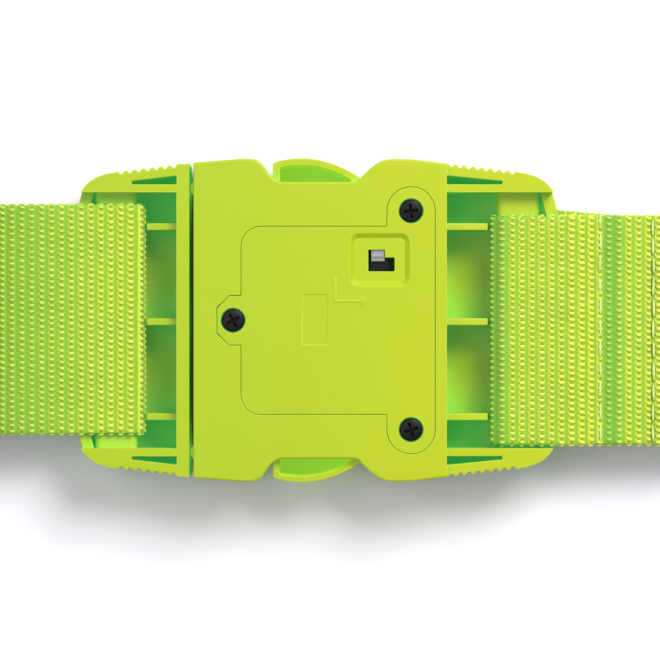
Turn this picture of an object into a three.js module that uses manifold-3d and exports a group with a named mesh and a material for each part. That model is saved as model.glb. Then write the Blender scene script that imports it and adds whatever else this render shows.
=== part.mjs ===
// A 50 mm luggage strap with a side-release buckle that has a three-dial combination lock inside.
// Millimetres. +X runs along the strap, from the male half towards the housing, +Y across it, and +Z up.
// The buckle lies with its dial side down on the strap's return run, which lies on z = 0.
import * as THREE from 'three';
import { mergeVertices } from 'three/addons/utils/BufferGeometryUtils.js';
import Module from 'manifold-3d';

const wasm = await Module();
wasm.setup();

// ---- Driving dimensions ----------------------------------------------------------------------
// Clearances
const FIT_GAP = 0.3; // round a piece that sits or runs in another
const SEAT_GAP = 0.05; // under a piece that is clamped on a flat seat

// Strap
const STRAP_WIDTH = 50;
const STRAP_THICKNESS = 1.4;
const STRAP_LENGTH = 1900; // whole length, sewn end to free tail
const MALE_STRAP_Y = 0.2; // sideways place of the strap in the male half
const HOUSING_STRAP_Y = -2.2; // and in the housing's frame

// Housing
const HOUSING_LENGTH = 54.9;
const HOUSING_HALF_WIDTH = 35;
const HOUSING_DEPTH = 18;
const MOUTH_X = -26.8; // open end of the housing
const SIDE_WALL = 3.5;
const FACE_WALL = 2;
const END_WALL = 2.2;
const NOTCH_LEFT = -9.4;
const NOTCH_RIGHT = 9.1;
const NOTCH_DEPTH = 5;

// Back cover and its screws
const COVER_LEFT = -16.4;
const COVER_RIGHT = 25.5;
const COVER_HALF_WIDTH = 20.3;
const COVER_CORNER = 4.3;
const COVER_LINE = 0.15; // parting gap round the cover
const TAB_LEFT = -21.6;
const TAB_HALF_WIDTH = 5.3;
const TAB_CHAMFER = 2.6;
const SCREW_EAR_RADIUS = 5.15;
const SCREW_EAR_Y = 23.7;
const TAB_SCREW_X = -18.2;
const SCREW_HEAD_RADIUS = 2.55;
const SCREW_HEAD_HEIGHT = 1;
const SCREW_SINK = 0.2; // head below the cover's face
const SCREW_SHANK_RADIUS = 1.1;
const SCREW_LENGTH = 6;
const BOSS_WALL = 1.7;

// Webbing frames at both ends
const FRAME_STEP = 1.5; // frame's back edge below the housing's back face
const FRAME_SIDE_Y = 27.8; // inner face of the frame's side walls
const EAR_REACH = 23.1; // from the housing's end to the ears' tips
const EAR_BOW = 4.1; // how far the outer crossbar bows past the ears
const SKIN_RISE = 3.9; // how far the front skin curves up towards the outer end
const SKIN_WALL = 2;
const BAR_REACH = 11.1; // from the housing's end to the bar
const BAR_WIDTH = 9.3;
const BAR_THICKNESS = 3;
const CROSSBAR_WIDTH = 2.6;
const RIB_THICKNESS = 1.5;
const RIB_SPACING = 20.7;
const TOOTH_COUNT = 8;
const TOOTH_PITCH = 1.9;
const TOOTH_DEPTH = 0.6;

// Male half
const MALE_GAP = 0.9; // between the housing's mouth and the male half's cross wall
const CROSS_WALL = 2.3;
const PRONG_PIVOT_X = -25;
const PRONG_ROOT_RADIUS = 2.45;
const PRONG_INNER_Y = 26.9;
const PRONG_HEAD_LEFT = -9.6;
const PRONG_TIP_X = 9.3;
const PRONG_WALL = 1.5;
const PRONG_SIDE_GAP = 0.4;
const PRONG_FLOOR = 2.4;

// Lock
const LOCK_WALL = 1.5;
const LOCK_HALF_WIDTH = 19.5; // inside
const LOCK_LEFT = -15; // inside
const LOCK_RIGHT = 20.5; // inside
const DIAL_COUNT = 3;
const DIAL_PITCH = 9.5;
const DIAL_WIDTH = 6.2;
const DIAL_RADIUS = 7.4;
const DIAL_SINK = 0.5; // dial crest behind the housing's front face
const DIAL_DIGITS = 10;
const SLEEVE_RADIUS = 3.9;
const FLANGE_RADIUS = 5.4;
const FLANGE_WIDTH = 0.8;
const FLANGE_GAP = 0.2;
const KEY_HEIGHT = 0.8;
const KEY_WIDTH = 1.2;
const KEY_LENGTH = 1.6;
const SHAFT_RADIUS = 1.55;
const COLLAR_RADIUS = 2.6;
const RESET_TRAVEL = 2;
const LEAF_GAP = 0.2; // between the detent leaf's strip and the cover's seat
const LOCK_BAR_THICKNESS = 2;
const LOCK_BAR_TRAVEL = 4.2;
const LOCK_BAR_X = -3.1; // where the prong pushes the bar
const LOCK_BAR_WIDTH = 8;
const FINGER_WIDTH = 0.7;
const LEVER_X = 12;
const LEVER_Y = 13.9;
const LEVER_WIDTH = 2.5;
const LEVER_BREADTH = 1.2;
const LEVER_TRAVEL = 3;

// Stored part of the strap
const ROLL_X = -112;
const ROLL_CORE_RADIUS = 8;
const ROLL_PITCH = 1.5; // thickness of one layer in the roll
const TIE_WIDTH = 12;
const TIE_THICKNESS = 1.2;
const SEAM_REACH = 33.6; // from the housing's end to the first stitch row
const SEWN_REACH = 48.9; // and to where the sewn end stops, past the second row
const TAIL_X = -72; // free tail under the male half's strap

// ---- Sizes that follow ------------------------------------------------------------------------
const FRONT_Z = STRAP_THICKNESS + FIT_GAP;
const BACK_Z = FRONT_Z + HOUSING_DEPTH;
const INSIDE_FRONT_Z = FRONT_Z + FACE_WALL;
const INSIDE_BACK_Z = BACK_Z - FACE_WALL;
const END_X = MOUTH_X + HOUSING_LENGTH;
const EAR_TIP_X = END_X + EAR_REACH;
const BAR_INNER_X = END_X + BAR_REACH;
const SEAM_X = END_X + SEAM_REACH;
const FOLDED_END_X = END_X + SEWN_REACH;
const SIDE_INNER_Y = HOUSING_HALF_WIDTH - SIDE_WALL;
const FRAME_TOP_Z = BACK_Z - FRAME_STEP;
const BAR_Z = FRONT_Z + 0.63 * HOUSING_DEPTH; // middle of the webbing bars
const LAYER_RISE = BAR_THICKNESS / 2 + FIT_GAP + STRAP_THICKNESS / 2; // strap centre from bar centre
const STITCHED_RISE = (STRAP_THICKNESS + FIT_GAP) / 2;
const MALE_X = MOUTH_X - MALE_GAP; // right face of the male half's cross wall
const PRONG_LOW_Z = INSIDE_FRONT_Z + PRONG_SIDE_GAP;
const PRONG_HIGH_Z = INSIDE_BACK_Z - PRONG_SIDE_GAP;
const PRONG_OUTER_Y = SIDE_INNER_Y - PRONG_SIDE_GAP;
const PRONG_PIVOT_Y = PRONG_OUTER_Y - PRONG_ROOT_RADIUS;
const DIAL_Z = FRONT_Z + DIAL_SINK + DIAL_RADIUS; // lock shaft's height
const FLANGE_START = DIAL_WIDTH / 2 + FLANGE_GAP; // from a dial's middle
const SLEEVE_START = -DIAL_WIDTH / 2 + 0.1;
const SLEEVE_END = FLANGE_START + FLANGE_WIDTH;
const DIAL_BORE = SLEEVE_RADIUS + FIT_GAP;
const SHAFT_BORE = SHAFT_RADIUS + FIT_GAP;
const DIAL_BACK_Z = DIAL_Z + DIAL_RADIUS;
const CARRIAGE_X = (DIAL_COUNT - 1) / 2 * DIAL_PITCH + SLEEVE_END + FIT_GAP;
const CARRIAGE_THICKNESS = 1.6;
const SHELF_Z = DIAL_Z + LOCK_BAR_THICKNESS / 2 + 1.4; // top of the lever's shelf is above the lock bars
const SHELF_THICKNESS = 1.2;
const FINGER_TIP_Y = SLEEVE_RADIUS + FIT_GAP + LOCK_BAR_TRAVEL; // at rest
const LOCK_BAR_OUTER_Y = LOCK_HALF_WIDTH - 0.5;
const LOCK_BAR_INNER_Y = LOCK_BAR_OUTER_Y - 3.5;
const SPRING_LEDGE_Y = DIAL_RADIUS + 0.5;
const SPRING_LEDGE_THICKNESS = 1.2;
const DIAL_PLACES = Array.from({ length: DIAL_COUNT }, (_, i) => (i - (DIAL_COUNT - 1) / 2) * DIAL_PITCH);
const ROLLED_LENGTH = STRAP_LENGTH - 2 * (EAR_TIP_X - ROLL_X) - 2 * (FOLDED_END_X - BAR_INNER_X);
const ROLL_RADIUS = Math.sqrt(ROLL_CORE_RADIUS ** 2 + ROLLED_LENGTH * ROLL_PITCH / Math.PI);
const LEAD_Z = STRAP_THICKNESS * 1.5 + FIT_GAP; // the male half's strap where it lies on the return run

// ---- Solids -----------------------------------------------------------------------------------
/** Turns a closed three.js geometry into a solid that can be cut and joined. */
function solid(geometry) {
  geometry.deleteAttribute('normal');
  geometry.deleteAttribute('uv');
  const merged = mergeVertices(geometry);
  return new wasm.Manifold(new wasm.Mesh({
    numProp: 3,
    vertProperties: new Float32Array(merged.attributes.position.array),
    triVerts: new Uint32Array(merged.index.array),
  }));
}

/** Turns a solid back into a geometry. */
function geometryOf(body) {
  const mesh = body.getMesh();
  const geometry = new THREE.BufferGeometry();
  geometry.setAttribute('position', new THREE.BufferAttribute(new Float32Array(mesh.vertProperties), 3));
  geometry.setIndex(new THREE.BufferAttribute(new Uint32Array(mesh.triVerts), 1));
  geometry.computeVertexNormals();
  return geometry;
}

const join = (first, ...others) => others.reduce((whole, other) => whole.add(other), first);
const cut = (first, ...tools) => tools.reduce((rest, tool) => rest.subtract(tool), first);

/** A block between two corners. */
function block(x0, x1, y0, y1, z0, z1) {
  const box = new THREE.BoxGeometry(x1 - x0, y1 - y0, z1 - z0);
  return solid(box.translate((x0 + x1) / 2, (y0 + y1) / 2, (z0 + z1) / 2));
}

/** An outline in the XY plane, raised from z0 to z1. */
function plate(outline, z0, z1, curveSegments = 10) {
  const raised = new THREE.ExtrudeGeometry(outline, { depth: z1 - z0, bevelEnabled: false, curveSegments });
  return solid(raised.translate(0, 0, z0));
}

/** An outline in the XZ plane, carried across from y0 to y1. */
function slab(outline, y0, y1, curveSegments = 10) {
  const raised = new THREE.ExtrudeGeometry(outline, { depth: y1 - y0, bevelEnabled: false, curveSegments });
  return solid(raised.rotateX(Math.PI / 2).translate(0, y1, 0));
}

/** A closed outline through corner points. */
const polygon = (corners) => new THREE.Shape(corners.map(([x, y]) => new THREE.Vector2(x, y)));

/** A body turned round the X axis, from a closed profile of [x, radius] corners. */
function turnedAlongX(profile, segments) {
  const lathe = new THREE.LatheGeometry(profile.map(([x, r]) => new THREE.Vector2(r, x)), segments);
  return solid(lathe.rotateZ(-Math.PI / 2));
}

/** A body turned round the Z axis, from a closed profile of [radius, z] corners. */
function turnedAlongZ(profile, segments) {
  const lathe = new THREE.LatheGeometry(profile.map(([r, z]) => new THREE.Vector2(r, z)), segments);
  return solid(lathe.rotateX(Math.PI / 2));
}

const mirroredY = (body) => body.mirror([0, 1, 0]);
const mirroredX = (body) => body.mirror([1, 0, 0]);

// ---- Housing ----------------------------------------------------------------------------------
/** The housing's outline from behind, with a thumb notch in each long side. */
function housingOutline() {
  const h = HOUSING_HALF_WIDTH;
  const notch = h - NOTCH_DEPTH;
  const upper = new THREE.Path();
  upper.moveTo(END_X, h - 1);
  upper.lineTo(END_X - 7.5, h - 0.1);
  upper.lineTo(NOTCH_RIGHT + 7.2, h);
  upper.bezierCurveTo(NOTCH_RIGHT + 4.6, h, NOTCH_RIGHT + 2.6, h - 1.6, NOTCH_RIGHT, notch + 0.5);
  upper.quadraticCurveTo(NOTCH_RIGHT - 0.4, notch, NOTCH_RIGHT - 1, notch);
  upper.lineTo(NOTCH_LEFT + 2, notch);
  upper.bezierCurveTo(NOTCH_LEFT + 0.4, notch, NOTCH_LEFT - 0.8, notch + 1.2, NOTCH_LEFT - 1.6, notch + 2.6);
  upper.bezierCurveTo(NOTCH_LEFT - 2.4, h - 1, NOTCH_LEFT - 3.2, h, NOTCH_LEFT - 5, h);
  upper.lineTo(NOTCH_LEFT - 7.2, h);
  upper.lineTo(MOUTH_X, h - 0.8);
  const points = upper.getPoints(6).map((p) => [p.x, p.y]);
  const lower = points.map(([x, y]) => [x, -y]).reverse();
  return polygon([...points, ...lower]);
}

/** The cover's outline, or its pocket's when grown by the parting gap. */
function coverOutline(grow = 0) {
  const earX = COVER_RIGHT - SCREW_EAR_RADIUS;
  const earRadius = SCREW_EAR_RADIUS + grow;
  const side = COVER_HALF_WIDTH + grow;
  const left = COVER_LEFT - grow;
  const cornerX = COVER_LEFT + COVER_CORNER;
  const cornerY = COVER_HALF_WIDTH - COVER_CORNER;
  const tab = TAB_HALF_WIDTH + grow;
  const shape = new THREE.Shape();
  shape.moveTo(COVER_RIGHT + grow, -SCREW_EAR_Y);
  shape.absarc(earX, SCREW_EAR_Y, earRadius, 0, Math.PI, false);
  shape.lineTo(earX - earRadius, side);
  shape.absarc(cornerX, cornerY, COVER_CORNER + grow, Math.PI / 2, Math.PI, false);
  shape.lineTo(left, tab);
  shape.lineTo(TAB_LEFT + TAB_CHAMFER, tab);
  shape.lineTo(TAB_LEFT - grow, tab - TAB_CHAMFER);
  shape.lineTo(TAB_LEFT - grow, TAB_CHAMFER - tab);
  shape.lineTo(TAB_LEFT + TAB_CHAMFER, -tab);
  shape.lineTo(left, -tab);
  shape.absarc(cornerX, -cornerY, COVER_CORNER + grow, Math.PI, Math.PI * 1.5, false);
  shape.lineTo(earX - earRadius, -side);
  shape.absarc(earX, -SCREW_EAR_Y, earRadius, Math.PI, Math.PI * 2, false);
  return shape;
}

/** Where the three cover screws stand. */
function screwPlaces() {
  const earX = COVER_RIGHT - SCREW_EAR_RADIUS;
  return [[TAB_SCREW_X, 0], [earX, SCREW_EAR_Y], [earX, -SCREW_EAR_Y]];
}

const skinLow = (x) => FRONT_Z + SKIN_RISE * ((Math.abs(x) - END_X) / (EAR_TIP_X - END_X)) ** 2;

/** The right-hand webbing frame's outline, from its inner face to the bowed crossbar. */
function frameOutline(innerX, bowInset = 0) {
  const points = [[innerX, HOUSING_HALF_WIDTH - 1]];
  const teethStart = END_X + 0.5;
  const teethEnd = teethStart + TOOTH_COUNT * TOOTH_PITCH;
  const edge = (x) => HOUSING_HALF_WIDTH - 1 - 0.12 * (x - END_X);
  for (let i = 0; i < TOOTH_COUNT; i += 1) {
    const x = teethStart + i * TOOTH_PITCH;
    points.push([x, edge(x)], [x + 0.35, edge(x) - TOOTH_DEPTH]);
    points.push([x + 0.85, edge(x) - TOOTH_DEPTH], [x + 1.2, edge(x)]);
  }
  const shoulder = new THREE.QuadraticBezierCurve(
    new THREE.Vector2(teethEnd, edge(teethEnd)),
    new THREE.Vector2(EAR_TIP_X - 2, edge(teethEnd) - 0.6),
    new THREE.Vector2(EAR_TIP_X - bowInset, FRAME_SIDE_Y + 0.2),
  );
  points.push(...shoulder.getPoints(6).map((p) => [p.x, p.y]));
  for (let i = 1; i <= 6; i += 1) {
    const y = FRAME_SIDE_Y * (1 - i / 6);
    points.push([EAR_TIP_X - bowInset + EAR_BOW * (1 - (y / FRAME_SIDE_Y) ** 2), y]);
  }
  const lower = points.slice(0, -1).map(([x, y]) => [x, -y]).reverse();
  return polygon([...points, ...lower]);
}

/** The space above a curved line that rises from the housing outwards. */
function spaceAboveSkin(lift, innerX, halfWidth, top) {
  const corners = [];
  for (let i = 0; i <= 8; i += 1) {
    const x = innerX + (EAR_TIP_X + EAR_BOW + 1 - innerX) * i / 8;
    corners.push([x, skinLow(Math.max(x, END_X)) + lift]);
  }
  corners.push([EAR_TIP_X + EAR_BOW + 1, top], [innerX, top]);
  return slab(polygon(corners), -halfWidth, halfWidth);
}

/** A webbing bar with rounded long edges. */
function webbingBar() {
  const half = BAR_THICKNESS / 2;
  const shape = new THREE.Shape();
  shape.absarc(BAR_INNER_X + BAR_WIDTH - half, BAR_Z, half, -Math.PI / 2, Math.PI / 2, false);
  shape.absarc(BAR_INNER_X + half, BAR_Z, half, Math.PI / 2, Math.PI * 1.5, false);
  return slab(shape, -FRAME_SIDE_Y - 1, FRAME_SIDE_Y + 1, 5);
}

/** The frame that holds the webbing: side walls with finger teeth, curved front skin, bars and ribs. */
function webbingFrame(innerX, windowX) {
  const outline = frameOutline(innerX);
  const whole = plate(outline, FRONT_Z, FRAME_TOP_Z).intersect(
    spaceAboveSkin(0, innerX - 1, HOUSING_HALF_WIDTH + 1, FRAME_TOP_Z + 1),
  );
  const hollow = spaceAboveSkin(SKIN_WALL, windowX, FRAME_SIDE_Y, FRAME_TOP_Z + 1);
  const wedge = polygon([
    [windowX, FRAME_SIDE_Y + 1.7],
    [BAR_INNER_X + 1, FRAME_SIDE_Y + 1.7],
    [BAR_INNER_X + 1, FRAME_SIDE_Y + 2.4],
    [windowX, FRAME_SIDE_Y + 3.6],
  ]);
  const wedgeSlot = plate(wedge, skinLow(BAR_INNER_X) + SKIN_WALL, FRAME_TOP_Z + 1);
  const crossbar = plate(frameOutline(innerX), BAR_Z - BAR_THICKNESS / 2, BAR_Z + BAR_THICKNESS / 2);
  const crossbarRoom = plate(
    frameOutline(innerX, CROSSBAR_WIDTH),
    BAR_Z - BAR_THICKNESS,
    BAR_Z + BAR_THICKNESS,
  );
  const farHalf = block(BAR_INNER_X + BAR_WIDTH, EAR_TIP_X + EAR_BOW + 1, -FRAME_SIDE_Y - 0.5,
    FRAME_SIDE_Y + 0.5, FRONT_Z, FRAME_TOP_Z);
  const ribEnd = BAR_INNER_X - STRAP_THICKNESS - 2 * FIT_GAP;
  const rib = polygon([
    [windowX - 0.5, skinLow(END_X) + 1],
    [ribEnd, skinLow(ribEnd) + 1],
    [ribEnd, BAR_Z + BAR_THICKNESS / 2 - 0.6],
    [windowX - 0.5, BAR_Z + BAR_THICKNESS / 2 + 1.4],
  ]);
  const ribs = [-1, 0, 1].map((i) => {
    const y = i * RIB_SPACING - 0.3;
    return slab(rib, y - RIB_THICKNESS / 2, y + RIB_THICKNESS / 2);
  });
  const frame = cut(whole, hollow, wedgeSlot, mirroredY(wedgeSlot));
  return join(frame, cut(crossbar, crossbarRoom).intersect(farHalf), webbingBar(), ...ribs);
}

/** A boss that takes a cover screw. */
function screwBoss([x, y]) {
  const radius = SCREW_SHANK_RADIUS + 0.25 + BOSS_WALL;
  const post = turnedAlongZ([[0, 0], [radius, 0], [radius, 1], [0, 1]], 20);
  const height = INSIDE_BACK_Z - INSIDE_FRONT_Z + 1;
  return post.scale([1, 1, height]).translate([x, y, INSIDE_FRONT_Z - 1]);
}

function screwPilot([x, y]) {
  const radius = SCREW_SHANK_RADIUS + 0.25;
  const drill = turnedAlongZ([[0, 0], [radius, 0], [radius, 1], [0, 1]], 12);
  return drill.scale([1, 1, SCREW_LENGTH + 1]).translate([x, y, BACK_Z - SCREW_LENGTH - 1]);
}

/** Walls of the lock's own compartment, between the two faces. */
function lockWalls() {
  const low = INSIDE_FRONT_Z - 0.5;
  const outer = block(LOCK_LEFT - LOCK_WALL, LOCK_RIGHT + LOCK_WALL, -LOCK_HALF_WIDTH - LOCK_WALL,
    LOCK_HALF_WIDTH + LOCK_WALL, low, INSIDE_BACK_Z);
  const inner = block(LOCK_LEFT, LOCK_RIGHT, -LOCK_HALF_WIDTH, LOCK_HALF_WIDTH, low - 1, BACK_Z);
  const halfWindow = LOCK_BAR_WIDTH / 2 + FIT_GAP;
  const window = block(LOCK_BAR_X - halfWindow, LOCK_BAR_X + halfWindow, -LOCK_HALF_WIDTH - LOCK_WALL - 1,
    LOCK_HALF_WIDTH + LOCK_WALL + 1, DIAL_Z - LOCK_BAR_THICKNESS / 2 - FIT_GAP,
    DIAL_Z + LOCK_BAR_THICKNESS / 2 + FIT_GAP);
  const ledge = block(LOCK_LEFT - 0.5, DIAL_PLACES[0], SPRING_LEDGE_Y,
    SPRING_LEDGE_Y + SPRING_LEDGE_THICKNESS, DIAL_Z - 3, DIAL_Z + 3);
  return join(cut(outer, inner, window), ledge, mirroredY(ledge));
}

function bezelOpening(grow) {
  const halfLength = DIAL_PLACES[DIAL_COUNT - 1] + DIAL_WIDTH / 2 + 1.6;
  return { halfLength: halfLength + grow, halfWidth: 9.1 + grow };
}

function housingBody() {
  const shell = plate(housingOutline(), FRONT_Z, BACK_Z);
  const cavity = block(MOUTH_X - 1, END_X - END_WALL, -SIDE_INNER_Y, SIDE_INNER_Y, INSIDE_FRONT_Z, INSIDE_BACK_Z);
  const pocket = plate(coverOutline(COVER_LINE), INSIDE_BACK_Z, BACK_Z + 1);
  const bezel = bezelOpening(0);
  const bezelHole = block(-bezel.halfLength, bezel.halfLength, -bezel.halfWidth, bezel.halfWidth,
    FRONT_Z - 1, INSIDE_FRONT_Z + 1);
  const shaftHole = turnedAlongX([[TAB_SCREW_X - 0.6, 0], [TAB_SCREW_X - 0.6, SHAFT_BORE],
    [END_X - END_WALL - 0.5, SHAFT_BORE], [END_X - END_WALL - 0.5, 0]], 16).translate([0, 0, DIAL_Z]);
  const inside = join(lockWalls(), ...screwPlaces().map(screwBoss));
  const body = cut(join(cut(shell, cavity), inside), pocket, bezelHole, shaftHole);
  return cut(join(body, webbingFrame(END_X - 0.5, END_X)), ...screwPlaces().map(screwPilot));
}

function housingCover() {
  const face = BACK_Z;
  const sheet = plate(coverOutline(), INSIDE_BACK_Z + SEAT_GAP, face, 12);
  const recessCorner = 1;
  const [x0, x1, y0, y1] = [LEVER_X - 3.8, LEVER_X + 7, LEVER_Y - 5.5, LEVER_Y + 3.9];
  const rim = new THREE.Shape();
  rim.absarc(x1 - recessCorner, y1 - recessCorner, recessCorner, 0, Math.PI / 2, false);
  rim.absarc(x0 + recessCorner, y1 - recessCorner, recessCorner, Math.PI / 2, Math.PI, false);
  rim.absarc(x0 + recessCorner, y0 + recessCorner, recessCorner, Math.PI, Math.PI * 1.5, false);
  rim.absarc(x1 - recessCorner, y0 + recessCorner, recessCorner, Math.PI * 1.5, Math.PI * 2, false);
  const slope = { depth: 2, bevelThickness: 0.8, bevelSize: 1.1, bevelSegments: 1, curveSegments: 3 };
  const recess = solid(new THREE.ExtrudeGeometry(rim, slope).translate(0, 0, face));
  const slotRight = LEVER_X + LEVER_WIDTH + RESET_TRAVEL + FIT_GAP;
  const slotLow = LEVER_Y - LEVER_TRAVEL - FIT_GAP;
  const slot = polygon([
    [LEVER_X - 0.9, slotLow],
    [slotRight, slotLow],
    [slotRight, LEVER_Y - 0.3],
    [LEVER_X + LEVER_WIDTH + 0.2, LEVER_Y - 0.3],
    [LEVER_X + LEVER_WIDTH + 0.2, LEVER_Y + LEVER_BREADTH + 0.2],
    [LEVER_X - 0.9, LEVER_Y + LEVER_BREADTH + 0.2],
  ]);
  const panel = block(-3.2, 2.4, -5.3, 5.7, face - 0.2, face + 1);
  const headSeat = SCREW_HEAD_HEIGHT + SCREW_SINK;
  const seats = screwPlaces().map(([x, y]) => {
    const profile = [[0, -headSeat - 3], [SCREW_SHANK_RADIUS + FIT_GAP, -headSeat - 3],
      [SCREW_SHANK_RADIUS + FIT_GAP, -headSeat], [SCREW_HEAD_RADIUS + 0.2, -headSeat],
      [SCREW_HEAD_RADIUS + 0.2, 1], [0, 1]];
    return turnedAlongZ(profile, 20).translate([x, y, face]);
  });
  const arrowShaft = block(3.6, 4.1, 3.9, 9.3, face - 0.5, face + 0.15);
  const arrowFoot = block(3.6, 9.4, 3.9, 4.4, face - 0.5, face + 0.15);
  const arrowHead = plate(polygon([[9.4, 3.1], [10.7, 4.15], [9.4, 5.2]]), face - 0.5, face + 0.15);
  return join(cut(sheet, recess, plate(slot, INSIDE_BACK_Z - 1, face), panel, ...seats),
    arrowShaft, arrowFoot, arrowHead);
}

/** A pan-head screw, head top at the origin and shank down. */
function coverScrew() {
  const shoulder = SCREW_HEAD_HEIGHT - SEAT_GAP;
  const profile = [[0, -SCREW_LENGTH + 0.4], [SCREW_SHANK_RADIUS, -SCREW_LENGTH + 0.9],
    [SCREW_SHANK_RADIUS, -shoulder], [SCREW_HEAD_RADIUS, -shoulder], [SCREW_HEAD_RADIUS, -0.35],
    [SCREW_HEAD_RADIUS - 0.5, -0.05], [0, 0]];
  const blade = block(-1.5, 1.5, -0.3, 0.3, -0.7, 1);
  return cut(turnedAlongZ(profile, 18), blade, blade.rotate([0, 0, 90]));
}

function frontBezel() {
  const opening = bezelOpening(-FIT_GAP / 2);
  const face = block(-opening.halfLength, opening.halfLength, -opening.halfWidth, opening.halfWidth,
    FRONT_Z, INSIDE_FRONT_Z + 0.5);
  const flangeZ = INSIDE_FRONT_Z + SEAT_GAP;
  const reach = bezelOpening(0.5);
  const flangeHalfLength = Math.min(reach.halfLength, FIT_GAP / -2 - LOCK_LEFT);
  const flange = block(-flangeHalfLength, flangeHalfLength, -reach.halfWidth, reach.halfWidth,
    flangeZ, flangeZ + 0.7);
  const dish = block(-opening.halfLength + 0.9, opening.halfLength - 0.9, -7.2, 7.2, FRONT_Z - 1, FRONT_Z + 1.1);
  const halfSlot = DIAL_RADIUS * 0.77;
  const windows = DIAL_PLACES.map((x) => block(x - DIAL_WIDTH / 2 - FIT_GAP, x + DIAL_WIDTH / 2 + FIT_GAP,
    -halfSlot, halfSlot, FRONT_Z - 1, INSIDE_FRONT_Z + 3));
  const trough = turnedAlongX([[-reach.halfLength, 0], [-reach.halfLength, FLANGE_RADIUS + FIT_GAP],
    [reach.halfLength, FLANGE_RADIUS + FIT_GAP], [reach.halfLength, 0]], 32).translate([0, 0, DIAL_Z]);
  return cut(join(face, flange), dish, trough, ...windows);
}

// ---- Male half --------------------------------------------------------------------------------
function maleFrame() {
  const wall = block(-MALE_X, -MALE_X + CROSS_WALL + 0.5, -HOUSING_HALF_WIDTH + 1.1, HOUSING_HALF_WIDTH - 1.1,
    FRONT_Z, FRAME_TOP_Z);
  const frame = webbingFrame(-MALE_X, -MALE_X + CROSS_WALL);
  return mirroredX(join(frame, wall));
}

/** The upper prong: an arm from the cross wall to a hollow head that stands in the side window. */
function upperProng() {
  const outline = new THREE.Shape();
  outline.absarc(PRONG_PIVOT_X, PRONG_PIVOT_Y, PRONG_ROOT_RADIUS, Math.PI / 2, Math.PI * 1.5, false);
  outline.lineTo(PRONG_HEAD_LEFT, PRONG_INNER_Y);
  outline.lineTo(PRONG_TIP_X - 1.4, PRONG_INNER_Y + 1.3);
  outline.quadraticCurveTo(PRONG_TIP_X + 0.2, PRONG_INNER_Y + 2.4, PRONG_TIP_X, SIDE_INNER_Y - 0.5);
  const crown = HOUSING_HALF_WIDTH + 0.2;
  outline.quadraticCurveTo(PRONG_TIP_X - 6, crown - 0.2, PRONG_HEAD_LEFT + 6.5, crown);
  outline.quadraticCurveTo(PRONG_HEAD_LEFT + 2.5, crown, PRONG_HEAD_LEFT, crown - 1.1);
  outline.lineTo(PRONG_HEAD_LEFT, PRONG_OUTER_Y);
  const room = new THREE.Shape();
  room.moveTo(PRONG_HEAD_LEFT + PRONG_WALL, PRONG_INNER_Y + 2);
  room.lineTo(PRONG_TIP_X - 2.2, PRONG_INNER_Y + 2.6);
  room.lineTo(PRONG_TIP_X - 2, SIDE_INNER_Y - 1);
  const roof = crown - PRONG_WALL;
  room.quadraticCurveTo(PRONG_TIP_X - 6.5, roof - 0.2, PRONG_HEAD_LEFT + 6.5, roof);
  room.quadraticCurveTo(PRONG_HEAD_LEFT + 3.5, roof, PRONG_HEAD_LEFT + PRONG_WALL, roof - 0.5);
  return cut(
    plate(outline, PRONG_LOW_Z, PRONG_HIGH_Z, 7),
    plate(room, PRONG_LOW_Z + PRONG_FLOOR, PRONG_HIGH_Z + 1, 7),
  );
}

// ---- Lock -------------------------------------------------------------------------------------
/** A numbered dial, with its middle at the origin and its axis along X. */
function dial() {
  const half = DIAL_WIDTH / 2;
  const splineEnd = -half + KEY_LENGTH + 0.3;
  const counterbore = SLEEVE_RADIUS + KEY_HEIGHT + FIT_GAP;
  const ring = turnedAlongX([[-half, DIAL_BORE], [-half, DIAL_RADIUS - 0.3], [-half + 0.4, DIAL_RADIUS],
    [half - 0.4, DIAL_RADIUS], [half, DIAL_RADIUS - 0.3], [half, counterbore], [splineEnd, counterbore],
    [splineEnd, DIAL_BORE], [-half, DIAL_BORE]], 30);
  const step = 360 / DIAL_DIGITS;
  const keyway = block(-half - 1, splineEnd, -KEY_WIDTH / 2 - 0.2, KEY_WIDTH / 2 + 0.2, 0, counterbore);
  const groove = block(-half - 1, half + 1, -0.45, 0.45, DIAL_RADIUS - 0.5, DIAL_RADIUS + 1);
  const cuts = Array.from({ length: DIAL_DIGITS }, (_, i) => [
    keyway.rotate([i * step, 0, 0]),
    groove.rotate([(i + 0.5) * step, 0, 0]),
  ]);
  return cut(ring, ...cuts.flat());
}

/** A cam sleeve that its dial turns by a key. Two notches in the flange let the lock bars' fingers in. */
function camSleeve() {
  const tube = turnedAlongX([[SLEEVE_START, SHAFT_BORE], [SLEEVE_START, SLEEVE_RADIUS],
    [FLANGE_START, SLEEVE_RADIUS], [FLANGE_START, FLANGE_RADIUS], [SLEEVE_END, FLANGE_RADIUS],
    [SLEEVE_END, SHAFT_BORE], [SLEEVE_START, SHAFT_BORE]], 20);
  const key = block(SLEEVE_START, SLEEVE_START + KEY_LENGTH, -KEY_WIDTH / 2, KEY_WIDTH / 2,
    SLEEVE_RADIUS - 0.5, SLEEVE_RADIUS + KEY_HEIGHT);
  const notchHalf = LOCK_BAR_THICKNESS / 2 + FIT_GAP;
  const notch = block(FLANGE_START - 0.1, SLEEVE_END + 1, SLEEVE_RADIUS + 0.1, FLANGE_RADIUS + 1,
    -notchHalf, notchHalf);
  return cut(join(tube, key), notch, mirroredY(notch));
}

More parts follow.
